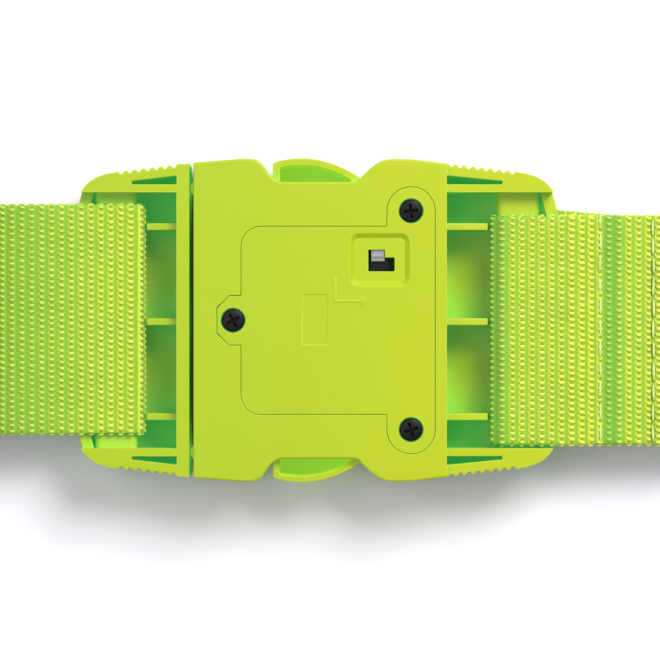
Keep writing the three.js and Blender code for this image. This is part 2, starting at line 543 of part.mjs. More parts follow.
/** The lock's shaft, with collars that carry the sleeves sideways. */
function lockShaft() {
  const profile = [[TAB_SCREW_X - 0.3, 0], [TAB_SCREW_X - 0.3, SHAFT_RADIUS]];
  const collar = (x0, x1) => profile.push([x0, SHAFT_RADIUS], [x0, COLLAR_RADIUS], [x1, COLLAR_RADIUS],
    [x1, SHAFT_RADIUS]);
  collar(DIAL_PLACES[0] + SLEEVE_START - 2.1, DIAL_PLACES[0] + SLEEVE_START - 0.2);
  for (let i = 0; i < DIAL_COUNT - 1; i += 1) {
    collar(DIAL_PLACES[i] + SLEEVE_END + 0.2, DIAL_PLACES[i + 1] + SLEEVE_START - 0.2);
  }
  collar(CARRIAGE_X + CARRIAGE_THICKNESS + 0.2, CARRIAGE_X + CARRIAGE_THICKNESS + 1);
  const end = LOCK_RIGHT + LOCK_WALL * 0.7;
  profile.push([end, SHAFT_RADIUS], [end, 0]);
  return turnedAlongX(profile, 16).translate([0, 0, DIAL_Z]);
}

/** The carriage that shifts with the shaft and carries the reset lever on a shelf. */
function resetCarriage() {
  const right = CARRIAGE_X + CARRIAGE_THICKNESS;
  const hubRadius = 3.2;
  const shelfTop = SHELF_Z + SHELF_THICKNESS;
  const shelfStart = DIAL_RADIUS + 0.6;
  const hub = block(CARRIAGE_X, right, -hubRadius, hubRadius, DIAL_Z - hubRadius, DIAL_Z + hubRadius);
  const arm = block(CARRIAGE_X, right, hubRadius - 1, shelfStart + 1, SHELF_Z - 0.3, shelfTop);
  const shelf = block(LEVER_X - 0.5, right, shelfStart, LEVER_Y + 3.6, SHELF_Z, shelfTop);
  const bore = turnedAlongX([[CARRIAGE_X - 1, 0], [CARRIAGE_X - 1, SHAFT_RADIUS + 0.2],
    [right + 1, SHAFT_RADIUS + 0.2], [right + 1, 0]], 16).translate([0, 0, DIAL_Z]);
  return cut(join(hub, arm, shelf), bore);
}

/** The reset lever: a foot that slides on the carriage's shelf and a tab under the cover's slot. */
function resetLever() {
  const footZ = SHELF_Z + SHELF_THICKNESS + FIT_GAP;
  const foot = block(LEVER_X - 0.2, LEVER_X + LEVER_WIDTH + 0.2, LEVER_Y - 1, LEVER_Y + LEVER_BREADTH + 1,
    footZ, footZ + 1.2);
  const tab = block(LEVER_X, LEVER_X + LEVER_WIDTH, LEVER_Y, LEVER_Y + LEVER_BREADTH, footZ + 1,
    INSIDE_BACK_Z - 0.5);
  return join(foot, tab);
}

/** A lock bar for the upper prong: stem through the lock wall, and one finger for each cam flange. */
function upperLockBar() {
  const low = DIAL_Z - LOCK_BAR_THICKNESS / 2;
  const high = DIAL_Z + LOCK_BAR_THICKNESS / 2;
  const half = LOCK_BAR_WIDTH / 2;
  const left = LOCK_LEFT + FIT_GAP + 0.2;
  const right = DIAL_PLACES[DIAL_COUNT - 1] + SLEEVE_END + 0.3;
  const stem = new THREE.Shape();
  const nose = PRONG_INNER_Y - FIT_GAP - 0.3;
  stem.moveTo(LOCK_BAR_X - half, LOCK_BAR_OUTER_Y - 1);
  stem.lineTo(LOCK_BAR_X + half, LOCK_BAR_OUTER_Y - 1);
  stem.lineTo(LOCK_BAR_X + half, nose - 1.2);
  stem.quadraticCurveTo(LOCK_BAR_X, nose + 1.2, LOCK_BAR_X - half, nose - 1.2);
  const spine = block(left, right, LOCK_BAR_INNER_Y, LOCK_BAR_OUTER_Y, low, high);
  const fingers = DIAL_PLACES.map((x) => {
    const start = x + FLANGE_START + (FLANGE_WIDTH - FINGER_WIDTH) / 2;
    return block(start, start + FINGER_WIDTH, FINGER_TIP_Y, LOCK_BAR_INNER_Y + 1, low + 0.1, high - 0.1);
  });
  return join(plate(stem, low, high, 8), spine, ...fingers);
}

/** A coil spring along a direction, as one closed wire. */
function coilSpring(start, end, radius, wire, turns) {
  const axis = new THREE.Vector3().subVectors(end, start);
  const length = axis.length();
  axis.normalize();
  const across = new THREE.Vector3(0, 0, 1).cross(axis).normalize();
  const up = new THREE.Vector3().crossVectors(axis, across);
  class Helix extends THREE.Curve {
    getPoint(t, target = new THREE.Vector3()) {
      const angle = t * turns * Math.PI * 2;
      return target.copy(start)
        .addScaledVector(axis, wire + t * (length - 2 * wire))
        .addScaledVector(across, Math.cos(angle) * (radius - wire))
        .addScaledVector(up, Math.sin(angle) * (radius - wire));
    }
  }
  const section = new THREE.Shape();
  section.absarc(0, 0, wire, 0, Math.PI * 2, false);
  return solid(new THREE.ExtrudeGeometry(section, {
    steps: turns * 8, extrudePath: new Helix(), curveSegments: 2.5, bevelEnabled: false,
  }));
}

/** The detent leaf: a strip seated under the cover, with one finger to a dial. */
function detentSpring() {
  const low = DIAL_BACK_Z + 0.2;
  const reach = DIAL_PLACES[DIAL_COUNT - 1] + DIAL_WIDTH / 2;
  const strip = block(-reach, reach, 3, 6, low, INSIDE_BACK_Z - LEAF_GAP);
  const fingers = DIAL_PLACES.map((x) => block(x - 2.2, x + 2.2, -4.5, 3.5, low, low + 0.3));
  return join(strip, ...fingers);
}

// ---- Strap ------------------------------------------------------------------------------------
/** A length of webbing: its side view follows a path in the XZ plane. */
function webbing(path, middleY, divisions = 6) {
  const line = path.getPoints(divisions).filter((p, i, all) => i === 0 || p.distanceTo(all[i - 1]) > 1e-6);
  const half = STRAP_THICKNESS / 2;
  const normals = line.map((p, i) => {
    const before = line[Math.max(i - 1, 0)];
    const after = line[Math.min(i + 1, line.length - 1)];
    const along = new THREE.Vector2().subVectors(after, before).normalize();
    return new THREE.Vector2(-along.y, along.x).multiplyScalar(half);
  });
  const left = line.map((p, i) => p.clone().add(normals[i]));
  const right = line.map((p, i) => p.clone().sub(normals[i])).reverse();
  return slab(new THREE.Shape([...right, ...left]), middleY - STRAP_WIDTH / 2, middleY + STRAP_WIDTH / 2);
}

/** Adds a soft step between two levels to a path. */
function ease(path, x, z) {
  const from = path.currentPoint;
  const middle = (from.x + x) / 2;
  path.bezierCurveTo(middle, from.y, middle, z, x, z);
}

const barTurnX = BAR_INNER_X + BAR_THICKNESS / 2;

/** The housing's end of the strap, folded round its bar and laid back on itself for sewing. */
function sewnLoop() {
  const clearOfFrame = EAR_TIP_X + EAR_BOW + 0.7;
  const path = new THREE.Path();
  path.moveTo(FOLDED_END_X, BAR_Z - STITCHED_RISE);
  path.lineTo(SEAM_X, BAR_Z - STITCHED_RISE);
  ease(path, clearOfFrame, BAR_Z - LAYER_RISE);
  path.lineTo(barTurnX, BAR_Z - LAYER_RISE);
  path.absarc(barTurnX, BAR_Z, LAYER_RISE, Math.PI * 1.5, Math.PI / 2, true);
  path.lineTo(clearOfFrame, BAR_Z + LAYER_RISE);
  ease(path, SEAM_X, BAR_Z + STITCHED_RISE);
  path.lineTo(FOLDED_END_X, BAR_Z + STITCHED_RISE);
  return webbing(path, HOUSING_STRAP_Y);
}

/** Where the strap turns down past the seam, to run back under the buckle. */
function farFold() {
  const top = BAR_Z + STITCHED_RISE;
  const bottom = STRAP_THICKNESS / 2;
  const radius = (top - bottom) / 2;
  const path = new THREE.Path();
  path.moveTo(FOLDED_END_X + FIT_GAP, top);
  path.absarc(FOLDED_END_X + 2, (top + bottom) / 2, radius, Math.PI / 2, -Math.PI / 2, true);
  path.lineTo(FOLDED_END_X + FIT_GAP, bottom);
  return webbing(path, HOUSING_STRAP_Y, 12);
}

/** The return run, flat on the table from the far fold to the roll. */
function returnRun() {
  const path = new THREE.Path();
  path.moveTo(FOLDED_END_X, STRAP_THICKNESS / 2);
  path.lineTo(ROLL_X + FIT_GAP, STRAP_THICKNESS / 2);
  return webbing(path, 0);
}

/** The male half's strap: from the roll up over the frame, round the bar and back as a free tail. */
function adjusterLoop() {
  const clearOfFrame = -(EAR_TIP_X + EAR_BOW + 0.7);
  const path = new THREE.Path();
  path.moveTo(ROLL_X + FIT_GAP, LEAD_Z);
  path.lineTo(ROLL_X + 14, LEAD_Z);
  ease(path, clearOfFrame - 4, BAR_Z + LAYER_RISE);
  path.lineTo(-barTurnX, BAR_Z + LAYER_RISE);
  path.absarc(-barTurnX, BAR_Z, LAYER_RISE, Math.PI / 2, -Math.PI / 2, true);
  path.lineTo(clearOfFrame, BAR_Z - LAYER_RISE);
  path.quadraticCurveTo(clearOfFrame - 8, BAR_Z - LAYER_RISE, TAIL_X, BAR_Z - LAYER_RISE - 4);
  return webbing(path, MALE_STRAP_Y);
}

/** The stored length, wound on itself. */
function roll() {
  const outline = new THREE.Shape();
  outline.absarc(ROLL_X, ROLL_RADIUS, ROLL_RADIUS, 0, Math.PI * 2, false);
  const core = new THREE.Path();
  core.absarc(ROLL_X, ROLL_RADIUS, ROLL_CORE_RADIUS, 0, Math.PI * 2, true);
  outline.holes.push(core);
  const leadRoom = block(ROLL_X, ROLL_X + ROLL_RADIUS, -STRAP_WIDTH, STRAP_WIDTH, -1,
    LEAD_Z + STRAP_THICKNESS / 2 + FIT_GAP);
  return cut(slab(outline, -STRAP_WIDTH / 2, STRAP_WIDTH / 2, 20), leadRoom);
}

/** A hook-and-loop tie through the roll's core and round its turns. */
function rollTie() {
  const half = TIE_WIDTH / 2;
  const low = ROLL_RADIUS + Math.sqrt(ROLL_CORE_RADIUS ** 2 - half ** 2) - FIT_GAP;
  const high = 2 * ROLL_RADIUS + FIT_GAP;
  const side = STRAP_WIDTH / 2 + FIT_GAP;
  const t = TIE_THICKNESS;
  const outer = block(ROLL_X - half, ROLL_X + half, -side - t, side + t, low - t, high + t);
  return cut(outer, block(ROLL_X - half - 1, ROLL_X + half + 1, -side, side, low, high));
}

// ---- Assembly ---------------------------------------------------------------------------------
const material = (color, roughness, metalness = 0) =>
  new THREE.MeshStandardMaterial({ color, roughness, metalness });
const plastic = material(0xc4d832, 0.45);
const innerPlastic = material(0xe9e9e4, 0.5);
const dialPlastic = material(0x1c1d20, 0.4);
const strapWeave = material(0xb7d63a, 0.85);
const tieFabric = material(0x26282b, 0.9);
const steel = material(0xb8bcc0, 0.3, 0.9);
const blackSteel = material(0x08090a, 0.35, 0.7);

const buckle = new THREE.Group();

function place(group, name, body, finish, position = [0, 0, 0]) {
  const mesh = new THREE.Mesh(geometryOf(body), finish);
  mesh.name = name;
  mesh.position.set(...position);
  group.add(mesh);
  return mesh;
}

const housing = new THREE.Group();
buckle.add(housing);
place(housing, 'housing_body', housingBody(), plastic);
place(housing, 'housing_cover', housingCover(), plastic);
place(housing, 'front_bezel', frontBezel(), plastic);
screwPlaces().forEach(([x, y], i) => {
  place(housing, `cover_screw_${i + 1}`, coverScrew(), blackSteel, [x, y, BACK_Z - SCREW_SINK]);
});
place(housing, 'strap_sewn_loop', sewnLoop(), strapWeave);
place(housing, 'strap_far_fold', farFold(), strapWeave);
place(housing, 'strap_return_run', returnRun(), strapWeave);

const male = new THREE.Group();
buckle.add(male);
const prong = upperProng();
place(male, 'male_frame', maleFrame(), plastic);
place(male, 'upper_prong', prong, plastic);
place(male, 'lower_prong', mirroredY(prong), plastic);
place(male, 'strap_adjuster_loop', adjusterLoop(), strapWeave);
place(male, 'strap_roll', roll(), strapWeave);
place(male, 'roll_tie', rollTie(), tieFabric);

const lock = new THREE.Group();
buckle.add(lock);
const oneDial = dial();
const oneSleeve = camSleeve();
DIAL_PLACES.forEach((x, i) => {
  place(lock, `dial_${i + 1}`, oneDial, dialPlastic, [x, 0, DIAL_Z]);
  place(lock, `cam_sleeve_${i + 1}`, oneSleeve, innerPlastic, [x, 0, DIAL_Z]);
});
place(lock, 'lock_shaft', lockShaft(), steel);
place(lock, 'reset_carriage', resetCarriage(), innerPlastic);
place(lock, 'reset_lever', resetLever(), steel);
place(lock, 'detent_spring', detentSpring(), steel);
const lockBar = upperLockBar();
place(lock, 'upper_lock_bar', lockBar, innerPlastic);
place(lock, 'lower_lock_bar', mirroredY(lockBar), innerPlastic);

const springX = LOCK_LEFT + 2.8;
const barSpring = coilSpring(
  new THREE.Vector3(springX, SPRING_LEDGE_Y + SPRING_LEDGE_THICKNESS + 0.1, DIAL_Z),
  new THREE.Vector3(springX, LOCK_BAR_INNER_Y - 0.1, DIAL_Z),
  1.8, 0.25, 4,
);
place(lock, 'upper_bar_spring', barSpring, steel);
place(lock, 'lower_bar_spring', mirroredY(barSpring), steel);
const shaftSpring = coilSpring(
  new THREE.Vector3(CARRIAGE_X + CARRIAGE_THICKNESS + 1.1, 0, DIAL_Z),
  new THREE.Vector3(LOCK_RIGHT - 0.1, 0, DIAL_Z),
  2.5, 0.25, 3,
);
place(lock, 'shaft_return_spring', shaftSpring, steel);

export default buckle;
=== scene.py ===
import logging
import math
from dataclasses import dataclass, field
from enum import Enum
from typing import Callable, Iterable, Sequence

import bmesh
import bpy
import numpy as np
from mathutils import Matrix, Vector, geometry


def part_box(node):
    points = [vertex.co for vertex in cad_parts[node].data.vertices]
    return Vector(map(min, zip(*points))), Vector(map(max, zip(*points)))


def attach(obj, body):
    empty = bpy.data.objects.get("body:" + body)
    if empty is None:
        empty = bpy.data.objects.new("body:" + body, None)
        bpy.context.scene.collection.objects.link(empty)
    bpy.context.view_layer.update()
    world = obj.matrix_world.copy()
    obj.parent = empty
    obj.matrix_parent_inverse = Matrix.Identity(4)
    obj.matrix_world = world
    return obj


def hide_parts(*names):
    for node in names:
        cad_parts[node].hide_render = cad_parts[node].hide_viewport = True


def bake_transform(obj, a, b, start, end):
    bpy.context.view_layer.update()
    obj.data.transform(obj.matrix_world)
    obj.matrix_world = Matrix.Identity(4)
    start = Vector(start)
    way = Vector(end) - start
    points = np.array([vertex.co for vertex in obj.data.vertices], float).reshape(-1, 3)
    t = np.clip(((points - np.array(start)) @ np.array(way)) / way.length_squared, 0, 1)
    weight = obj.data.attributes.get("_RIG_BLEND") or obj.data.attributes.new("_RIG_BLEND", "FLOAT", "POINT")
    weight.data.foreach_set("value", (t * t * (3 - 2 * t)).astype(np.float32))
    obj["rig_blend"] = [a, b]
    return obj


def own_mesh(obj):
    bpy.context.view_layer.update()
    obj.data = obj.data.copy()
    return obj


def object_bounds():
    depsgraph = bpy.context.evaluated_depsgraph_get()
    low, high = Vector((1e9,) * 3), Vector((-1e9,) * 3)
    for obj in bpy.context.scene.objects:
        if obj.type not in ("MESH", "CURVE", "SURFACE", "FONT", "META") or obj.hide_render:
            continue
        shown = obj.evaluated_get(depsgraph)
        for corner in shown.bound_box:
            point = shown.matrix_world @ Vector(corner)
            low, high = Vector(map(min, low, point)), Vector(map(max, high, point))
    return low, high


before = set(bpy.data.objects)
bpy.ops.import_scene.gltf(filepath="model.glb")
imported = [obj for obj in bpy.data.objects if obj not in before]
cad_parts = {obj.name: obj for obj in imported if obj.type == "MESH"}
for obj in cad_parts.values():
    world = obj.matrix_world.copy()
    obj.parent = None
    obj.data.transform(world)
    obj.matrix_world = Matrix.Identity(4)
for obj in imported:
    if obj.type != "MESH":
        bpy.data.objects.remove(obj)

logging.basicConfig(level=logging.INFO, format="%(name)s: %(message)s")
LOG = logging.getLogger("luggage_strap")
CAD_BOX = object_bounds()
MM = 0.001
TURN = 2 * math.pi
UP = Vector((0, 0, 1))
Triple = tuple[float, float, float]
Colour = Triple
Point = tuple[float, float]
Band = tuple[float, float, float, float]
Spot = tuple[Vector, Vector, Vector, Vector]


# ---- Shader expressions -------------------------------------------------------------------------
class Wire:
    """An output socket that takes part in Python arithmetic."""

    def __init__(self, shader: "Shader", socket: bpy.types.NodeSocket) -> None:
        """Keeps the socket and the material it belongs to."""
        self.shader = shader
        self.socket = socket

    def __add__(self, other: object) -> "Wire":
        """Sum."""
        return self.shader.maths("ADD", self, other)

    def __radd__(self, other: object) -> "Wire":
        """Sum, reflected."""
        return self.shader.maths("ADD", other, self)

    def __sub__(self, other: object) -> "Wire":
        """Difference."""
        return self.shader.maths("SUBTRACT", self, other)

    def __rsub__(self, other: object) -> "Wire":
        """Difference, reflected."""
        return self.shader.maths("SUBTRACT", other, self)

    def __mul__(self, other: object) -> "Wire":
        """Product."""
        return self.shader.maths("MULTIPLY", self, other)

    def __rmul__(self, other: object) -> "Wire":
        """Product, reflected."""
        return self.shader.maths("MULTIPLY", other, self)

    def clamped(self) -> "Wire":
        """The value kept between 0 and 1."""
        return self.shader.node("ShaderNodeClamp", {}, [self, 0.0, 1.0])


class Shader:
    """A material and the nodes that feed its surface."""

    def __init__(self, name: str) -> None:
        """Starts a material with one Principled surface.

        Args:
            name: The material's name.
        """
        self.material = bpy.data.materials.new(name)
        self.material.use_nodes = True
        self.tree = self.material.node_tree
        self.surface = next(n for n in self.tree.nodes if n.type == "BSDF_PRINCIPLED")

    def feed(self, value: object, socket: bpy.types.NodeSocket) -> None:
        """Links a wire to a socket, or sets the socket to a plain value.

        Args:
            value: A wire, a number, a vector, or a colour of three channels.
            socket: The socket that takes it.
        """
        if isinstance(value, Wire):
            self.tree.links.new(value.socket, socket)
            return
        if hasattr(socket.default_value, "__len__") and len(socket.default_value) == 4:
            value = (*value, 1.0)
        socket.default_value = value

    def node(self, kind: str, settings: dict[str, object] | None = None,
             values: Sequence[object] | dict[str, object] = (), out: int | str = 0) -> Wire:
        """Adds a node.

        Args:
            kind: The node's type.
            settings: Its settings, which are set first.
            values: Values or wires, in the order of its sockets or by their names.
            out: Which output to hand back.

        Returns:
            The chosen output.
        """
        made = self.tree.nodes.new(kind)
        for key, value in (settings or {}).items():
            setattr(made, key, value)
        for key, value in (values.items() if isinstance(values, dict) else enumerate(values)):
            self.feed(value, made.inputs[key])
        return Wire(self, made.outputs[out])

    def maths(self, operation: str, *values: object) -> Wire:
        """Adds a Math node."""
        return self.node("ShaderNodeMath", {"operation": operation}, values)

    def place(self) -> Wire:
        """The point on the piece, in metres."""
        return self.node("ShaderNodeTexCoord", out="Object")

    def woven_place(self) -> Wire:
        """The point on a strap's own weave."""
        return self.node("ShaderNodeTexCoord", out="UV")

    def part_of(self, vector: Wire, axis: str) -> Wire:
        """One coordinate of a vector, X, Y or Z."""
        return self.node("ShaderNodeSeparateXYZ", {}, [vector], axis)

    def noise(self, vector: Wire, scale: float, detail: float = 2.0, roughness: float = 0.5) -> Wire:
        """Fractal noise from 0 to 1."""
        return self.node("ShaderNodeTexNoise", {},
                         {"Vector": vector, "Scale": scale, "Detail": detail, "Roughness": roughness})

    def spread(self, value: Wire, low: float, high: float) -> Wire:
        """Rises smoothly from 0 at low to 1 at high, which may be the smaller of the two."""
        return self.node("ShaderNodeMapRange", {"interpolation_type": "SMOOTHSTEP"}, [value, low, high])

    def band(self, value: Wire, ends: Band) -> Wire:
        """Rises over the first two numbers and falls over the last two."""
        return self.spread(value, ends[0], ends[1]) * self.spread(value, ends[3], ends[2])

    def sky(self, reach: float, samples: int = 6) -> Wire:
        """How open the surroundings are, from 0 when closed in to 1: the mask for painted shade and painted
        light.
        """
        return self.node("ShaderNodeAmbientOcclusion", {"samples": samples}, {"Distance": reach}, "AO")

    def rim(self, radius: float, turned: Point) -> Wire:
        """How near a point is to an edge.

        Args:
            radius: How far from the edge it is felt, in metres.
            turned: The agreement of rounded and plain normals at which it starts and is full.

        Returns:
            A share from 0 to 1.
        """
        rounded = self.node("ShaderNodeBevel", {"samples": 4}, {"Radius": radius})
        flat = self.node("ShaderNodeNewGeometry", out="Normal")
        alike = self.node("ShaderNodeVectorMath", {"operation": "DOT_PRODUCT"}, [rounded, flat], "Value")
        return self.spread(alike, *turned)

    def mixed(self, share: object, first: object, second: object) -> Wire:
        """Mixes two colours.

        Args:
            share: How much of the second.
            first: The first colour.
            second: The second colour.

        Returns:
            The mixed colour.
        """
        made = self.tree.nodes.new("ShaderNodeMix")
        made.data_type = "RGBA"
        for socket, value in ((0, share), (6, first), (7, second)):
            self.feed(value, made.inputs[socket])
        return Wire(self, made.outputs[2])

    def bump(self, height: Wire, distance: float, strength: float) -> Wire:
        """A normal tilted by a height map, with its distance in metres."""
        return self.node("ShaderNodeBump", {},
                         {"Strength": strength, "Distance": distance, "Height": height}, "Normal")

    def finish(self, **values: object) -> bpy.types.Material:
        """Feeds the surface.

        Args:
            values: What each socket takes, with _ for a space in its name.

        Returns:
            The material.
        """
        for key, value in values.items():
            self.feed(value, self.surface.inputs[key.replace("_", " ")])
        return self.material


# ---- Finishes -----------------------------------------------------------------------------------
@dataclass(frozen=True)
class LimePlastic:
    """Fluorescent moulded plastic with painted light: a painted highlight on edges and towards +X, painted
    shade that turns hollows a dark green, and painted light given off in raised hollows.

    A pair says where a change starts and is full, of the open surroundings or of a place in metres.
    """

    name: str = "lime_plastic"
    face: Colour = (0.375, 0.525, 0.005)
    # The lighter tone of a painted highlight towards +X, where the key light falls.
    warm: Colour = (0.455, 0.555, 0.003)
    # Painted shade: the darker greens that hollows take where the surroundings close in.
    hollow: Colour = (0.38, 0.62, 0.028)
    deep: Colour = (0.07, 0.52, 0.07)
    # A painted highlight along edges, also standing for light wear.
    edge: Colour = (0.68, 0.80, 0.03)
    # The colour of painted light given off in raised hollows.
    glow: Colour = (0.03, 0.225, 0.058)
    reach: float = 0.010
    glow_strength: float = 0.55
    grain: float = 0.000012
    edge_radius: float = 0.00035
    edge_turned: Point = (0.995, 0.90)
    edge_share: float = 0.6
    warm_x: Point = (-0.03, 0.06)
    hollow_sky: Point = (0.88, 0.45)
    deep_sky: Point = (0.42, 0.08)
    glow_sky: Point = (0.75, 0.15)
    raised_z: Point = (0.0022, 0.0040)
    shell_x: Point = (0.0262, 0.0258)
    shell_y: Point = (0.0262, 0.0256)
    shell_z: Point = (0.01768, 0.01760)

    def tone(self, s: Shader, place: Wire, open_sky: Wire) -> Wire:
        """The colour of faces, with painted shade in hollows and a painted highlight on edges and towards +X.

        Args:
            s: The material that is being made.
            place: The point on the piece.
            open_sky: How open its surroundings are.

        Returns:
            The colour.
        """
        drift = s.noise(place, 22.0)
        # Painted highlight: the face turns lighter and yellower towards +X, where the key light falls, with
        # random tone drift mixed in.
        side = s.spread(s.part_of(place, "X"), *self.warm_x)
        body = s.mixed((side * 0.7 + drift * 0.5).clamped(), self.face, self.warm)
        # Painted shade: where the surroundings close in, the face turns a darker green, darkest in the
        # narrowest hollows.
        shade = s.mixed(s.spread(open_sky, *self.deep_sky), self.hollow, self.deep)
        body = s.mixed(s.spread(open_sky, *self.hollow_sky), body, shade)
        # Painted highlight along edges, only where the surroundings are open: a bright yellow rim, standing
        # also for light wear.
        rim = s.rim(self.edge_radius, self.edge_turned)
        return s.mixed(rim * open_sky * self.edge_share, body, self.edge)

    def light(self, s: Shader, place: Wire, open_sky: Wire) -> Wire:
        """Painted light: an emission that brightens raised hollows outside the housing's shell, where shade
        would fall.

        Args:
            s: The material that is being made.
            place: The point on the piece.
            open_sky: How open its surroundings are.

        Returns:
            The colour of the light.
        """
        x, y = (s.maths("ABSOLUTE", s.part_of(place, axis)) for axis in "XY")
        z = s.part_of(place, "Z")
        inside = s.spread(x, *self.shell_x) * s.spread(y, *self.shell_y) * s.spread(z, *self.shell_z)
        lit = s.spread(open_sky, *self.glow_sky) * s.spread(z, *self.raised_z) * (1.0 - inside)
        return s.mixed(lit, (0.0, 0.0, 0.0), self.glow)

    def material(self) -> bpy.types.Material:
        """Builds the material.

        Returns:
            The material.
        """
        s = Shader(self.name)
        place, open_sky = s.place(), s.sky(self.reach, 8)
        fine = s.noise(place, 3200.0, 3.0, 0.6)
        scuff = s.spread(s.noise(place, 160.0, 4.0, 0.65), 0.52, 0.75)
        # The base colour carries painted highlights and painted shade; the emission is painted light in
        # raised hollows.
        return s.finish(Base_Color=self.tone(s, place, open_sky),
                        Roughness=(0.36 + fine * 0.1 + scuff * 0.12),
                        Normal=s.bump(fine, self.grain, 0.6),
                        Emission_Color=self.light(s, place, open_sky),
                        Emission_Strength=self.glow_strength, IOR=1.46)


@dataclass(frozen=True)
class DimBands:
    """Painted shade on the raised webbing: where it turns a darker green, at its fold, past the seam and out
    to the left, in metres.
    """

    fold: Band = (0.0365, 0.0372, 0.0385, 0.0435)
    past_seam: Band = (0.0620, 0.0632, 0.0648, 0.0675)
    far_left: Point = (-0.0430, -0.0640)
    above: Point = (0.0060, 0.0085)
    shares: Triple = (0.75, 0.7, 0.42)

    def share(self, s: Shader) -> Wire:
        """How strong the painted shade is.

        Args:
            s: The material that is being made.

        Returns:
            A share from 0 to 1.
        """
        x, z = (s.part_of(s.place(), axis) for axis in "XZ")
        bands = (s.band(x, self.fold), s.band(x, self.past_seam), s.spread(x, *self.far_left))
        dim = bands[0] * self.shares[0] + bands[1] * self.shares[1] + bands[2] * self.shares[2]
        return (dim * s.spread(z, *self.above)).clamped()


@dataclass(frozen=True)
class Webbing:
    """Woven strap under its floats: ribs across it, with a painted highlight on the rib flanks, one flank
    brighter than the other, painted shade in the valleys between them and in creases, and painted shade bands
    at the fold and past the seam.
    """

    name: str = "lime_webbing"
    flank: Colour = (0.66, 0.80, 0.05)
    knot: Colour = (0.27, 0.36, 0.018)
    valley: Colour = (0.21, 0.46, 0.024)
    # The darker green of the painted shade bands.
    dip: Colour = (0.12, 0.40, 0.03)
    hollow: Colour = (0.06, 0.26, 0.03)
    relief: float = 0.00022
    left_flank: Band = (0.06, 0.22, 0.34, 0.52)
    right_flank: Band = (0.56, 0.66, 0.74, 0.82)
    hollow_sky: Point = (0.75, 0.25)

    def material(self) -> bpy.types.Material:
        """Builds the material. The UV map counts ribs along the strap and yarns across it.

        Returns:
            The material.
        """
        s = Shader(self.name)
        woven, place = s.woven_place(), s.place()
        along, across = s.part_of(woven, "X"), s.part_of(woven, "Y")
        crest = s.maths("COSINE", (along - 0.5) * TURN) * 0.5 + 0.5
        row = s.maths("FLOOR", along)
        yarn = s.maths("COSINE", (across + row * 0.5) * TURN) * 0.5 + 0.5
        patch = s.noise(place, 260.0, 3.0, 0.6)
        fuzz = s.noise(place, 5200.0, 2.0, 0.7)
        within = s.maths("FRACT", along)
        # Painted highlight on the rib flanks, the first flank much brighter than the second, over the painted
        # valley shade elsewhere, with random patches.
        left, right = s.band(within, self.left_flank), s.band(within, self.right_flank)
        tone = s.mixed((left * 0.85 + right * 0.35 + patch * 0.25).clamped(), self.valley, self.flank)
        tone = s.mixed(s.spread(crest * yarn, 0.35, 0.75) * 0.9, tone, self.knot)
        # Painted shade bands: a darker green at the fold, past the seam and out to the left.
        tone = s.mixed(DimBands().share(s), tone, self.dip)
        # Painted shade: a darker green where the surroundings close in, in creases and under the floats.
        tone = s.mixed(s.spread(s.sky(0.004), *self.hollow_sky), tone, self.hollow)
        height = crest * (1.0 - yarn * 0.5)
        return s.finish(Base_Color=tone, Roughness=(0.62 + fuzz * 0.2),
                        Normal=s.bump(height + fuzz * 0.12, self.relief, 0.8), Sheen_Weight=0.25,
                        Sheen_Roughness=0.5, Specular_IOR_Level=0.35)


@dataclass(frozen=True)
class Yarn:
    """Twisted polyester yarn: fine filaments in random light and dark patches, with painted shade round a
    float's base and in creases, which leaves its crown lighter, and the webbing's painted shade bands.
    """

    name: str
    light: Colour
    dark: Colour
    roughness: float = 0.42
    dip: Colour = (0.20, 0.50, 0.05)
    dark_sky: Point = (0.8, 0.3)

    def material(self) -> bpy.types.Material:
        """Builds the material.

        Returns:
            The material.
        """
        s = Shader(self.name)
        place = s.place()
        patch = s.spread(s.noise(place, 420.0, 3.0, 0.65), 0.3, 0.7)
        strand = s.noise(place, 6500.0, 2.0, 0.6)
        tone = s.mixed((patch * 0.55 + strand * 0.45).clamped(), self.dark, self.light)
        # Painted shade: the dark tone where the surroundings close in, round a float's base.
        tone = s.mixed(s.spread(s.sky(0.0016), *self.dark_sky), tone, self.dark)
        # Painted shade bands: the floats and stitches turn a darker green at the fold, past the seam and out
        # to the left.
        tone = s.mixed(DimBands().share(s) * 0.85, tone, self.dip)
        return s.finish(Base_Color=tone, Roughness=(self.roughness + strand * 0.2),
                        Normal=s.bump(strand, 0.00006, 0.7), Sheen_Weight=0.15)


@dataclass(frozen=True)
class Metal:
    """Bare or blackened steel with fine drawn marks."""

    name: str
    tint: Colour
    worn: Colour
    roughness: float
    metallic: float = 1.0
    specular: float = 0.5
    edge_radius: float = 0.00015
    edge_turned: Point = (0.99, 0.88)

    def material(self) -> bpy.types.Material:
        """Builds the material.

        Returns:
            The material.
        """
        s = Shader(self.name)
        drawn = s.node("ShaderNodeMapping", {}, {"Vector": s.place(), "Scale": (1.0, 9.0, 1.0)})
        marks = s.noise(drawn, 900.0, 3.0, 0.6)
        rim = s.rim(self.edge_radius, self.edge_turned)
        tone = s.mixed(rim * 0.7, s.mixed(marks, self.tint, self.worn), self.worn)
        return s.finish(Base_Color=tone, Metallic=self.metallic,
                        Roughness=(self.roughness + marks * 0.18),
                        Normal=s.bump(marks, 0.000008, 0.5), Specular_IOR_Level=self.specular)


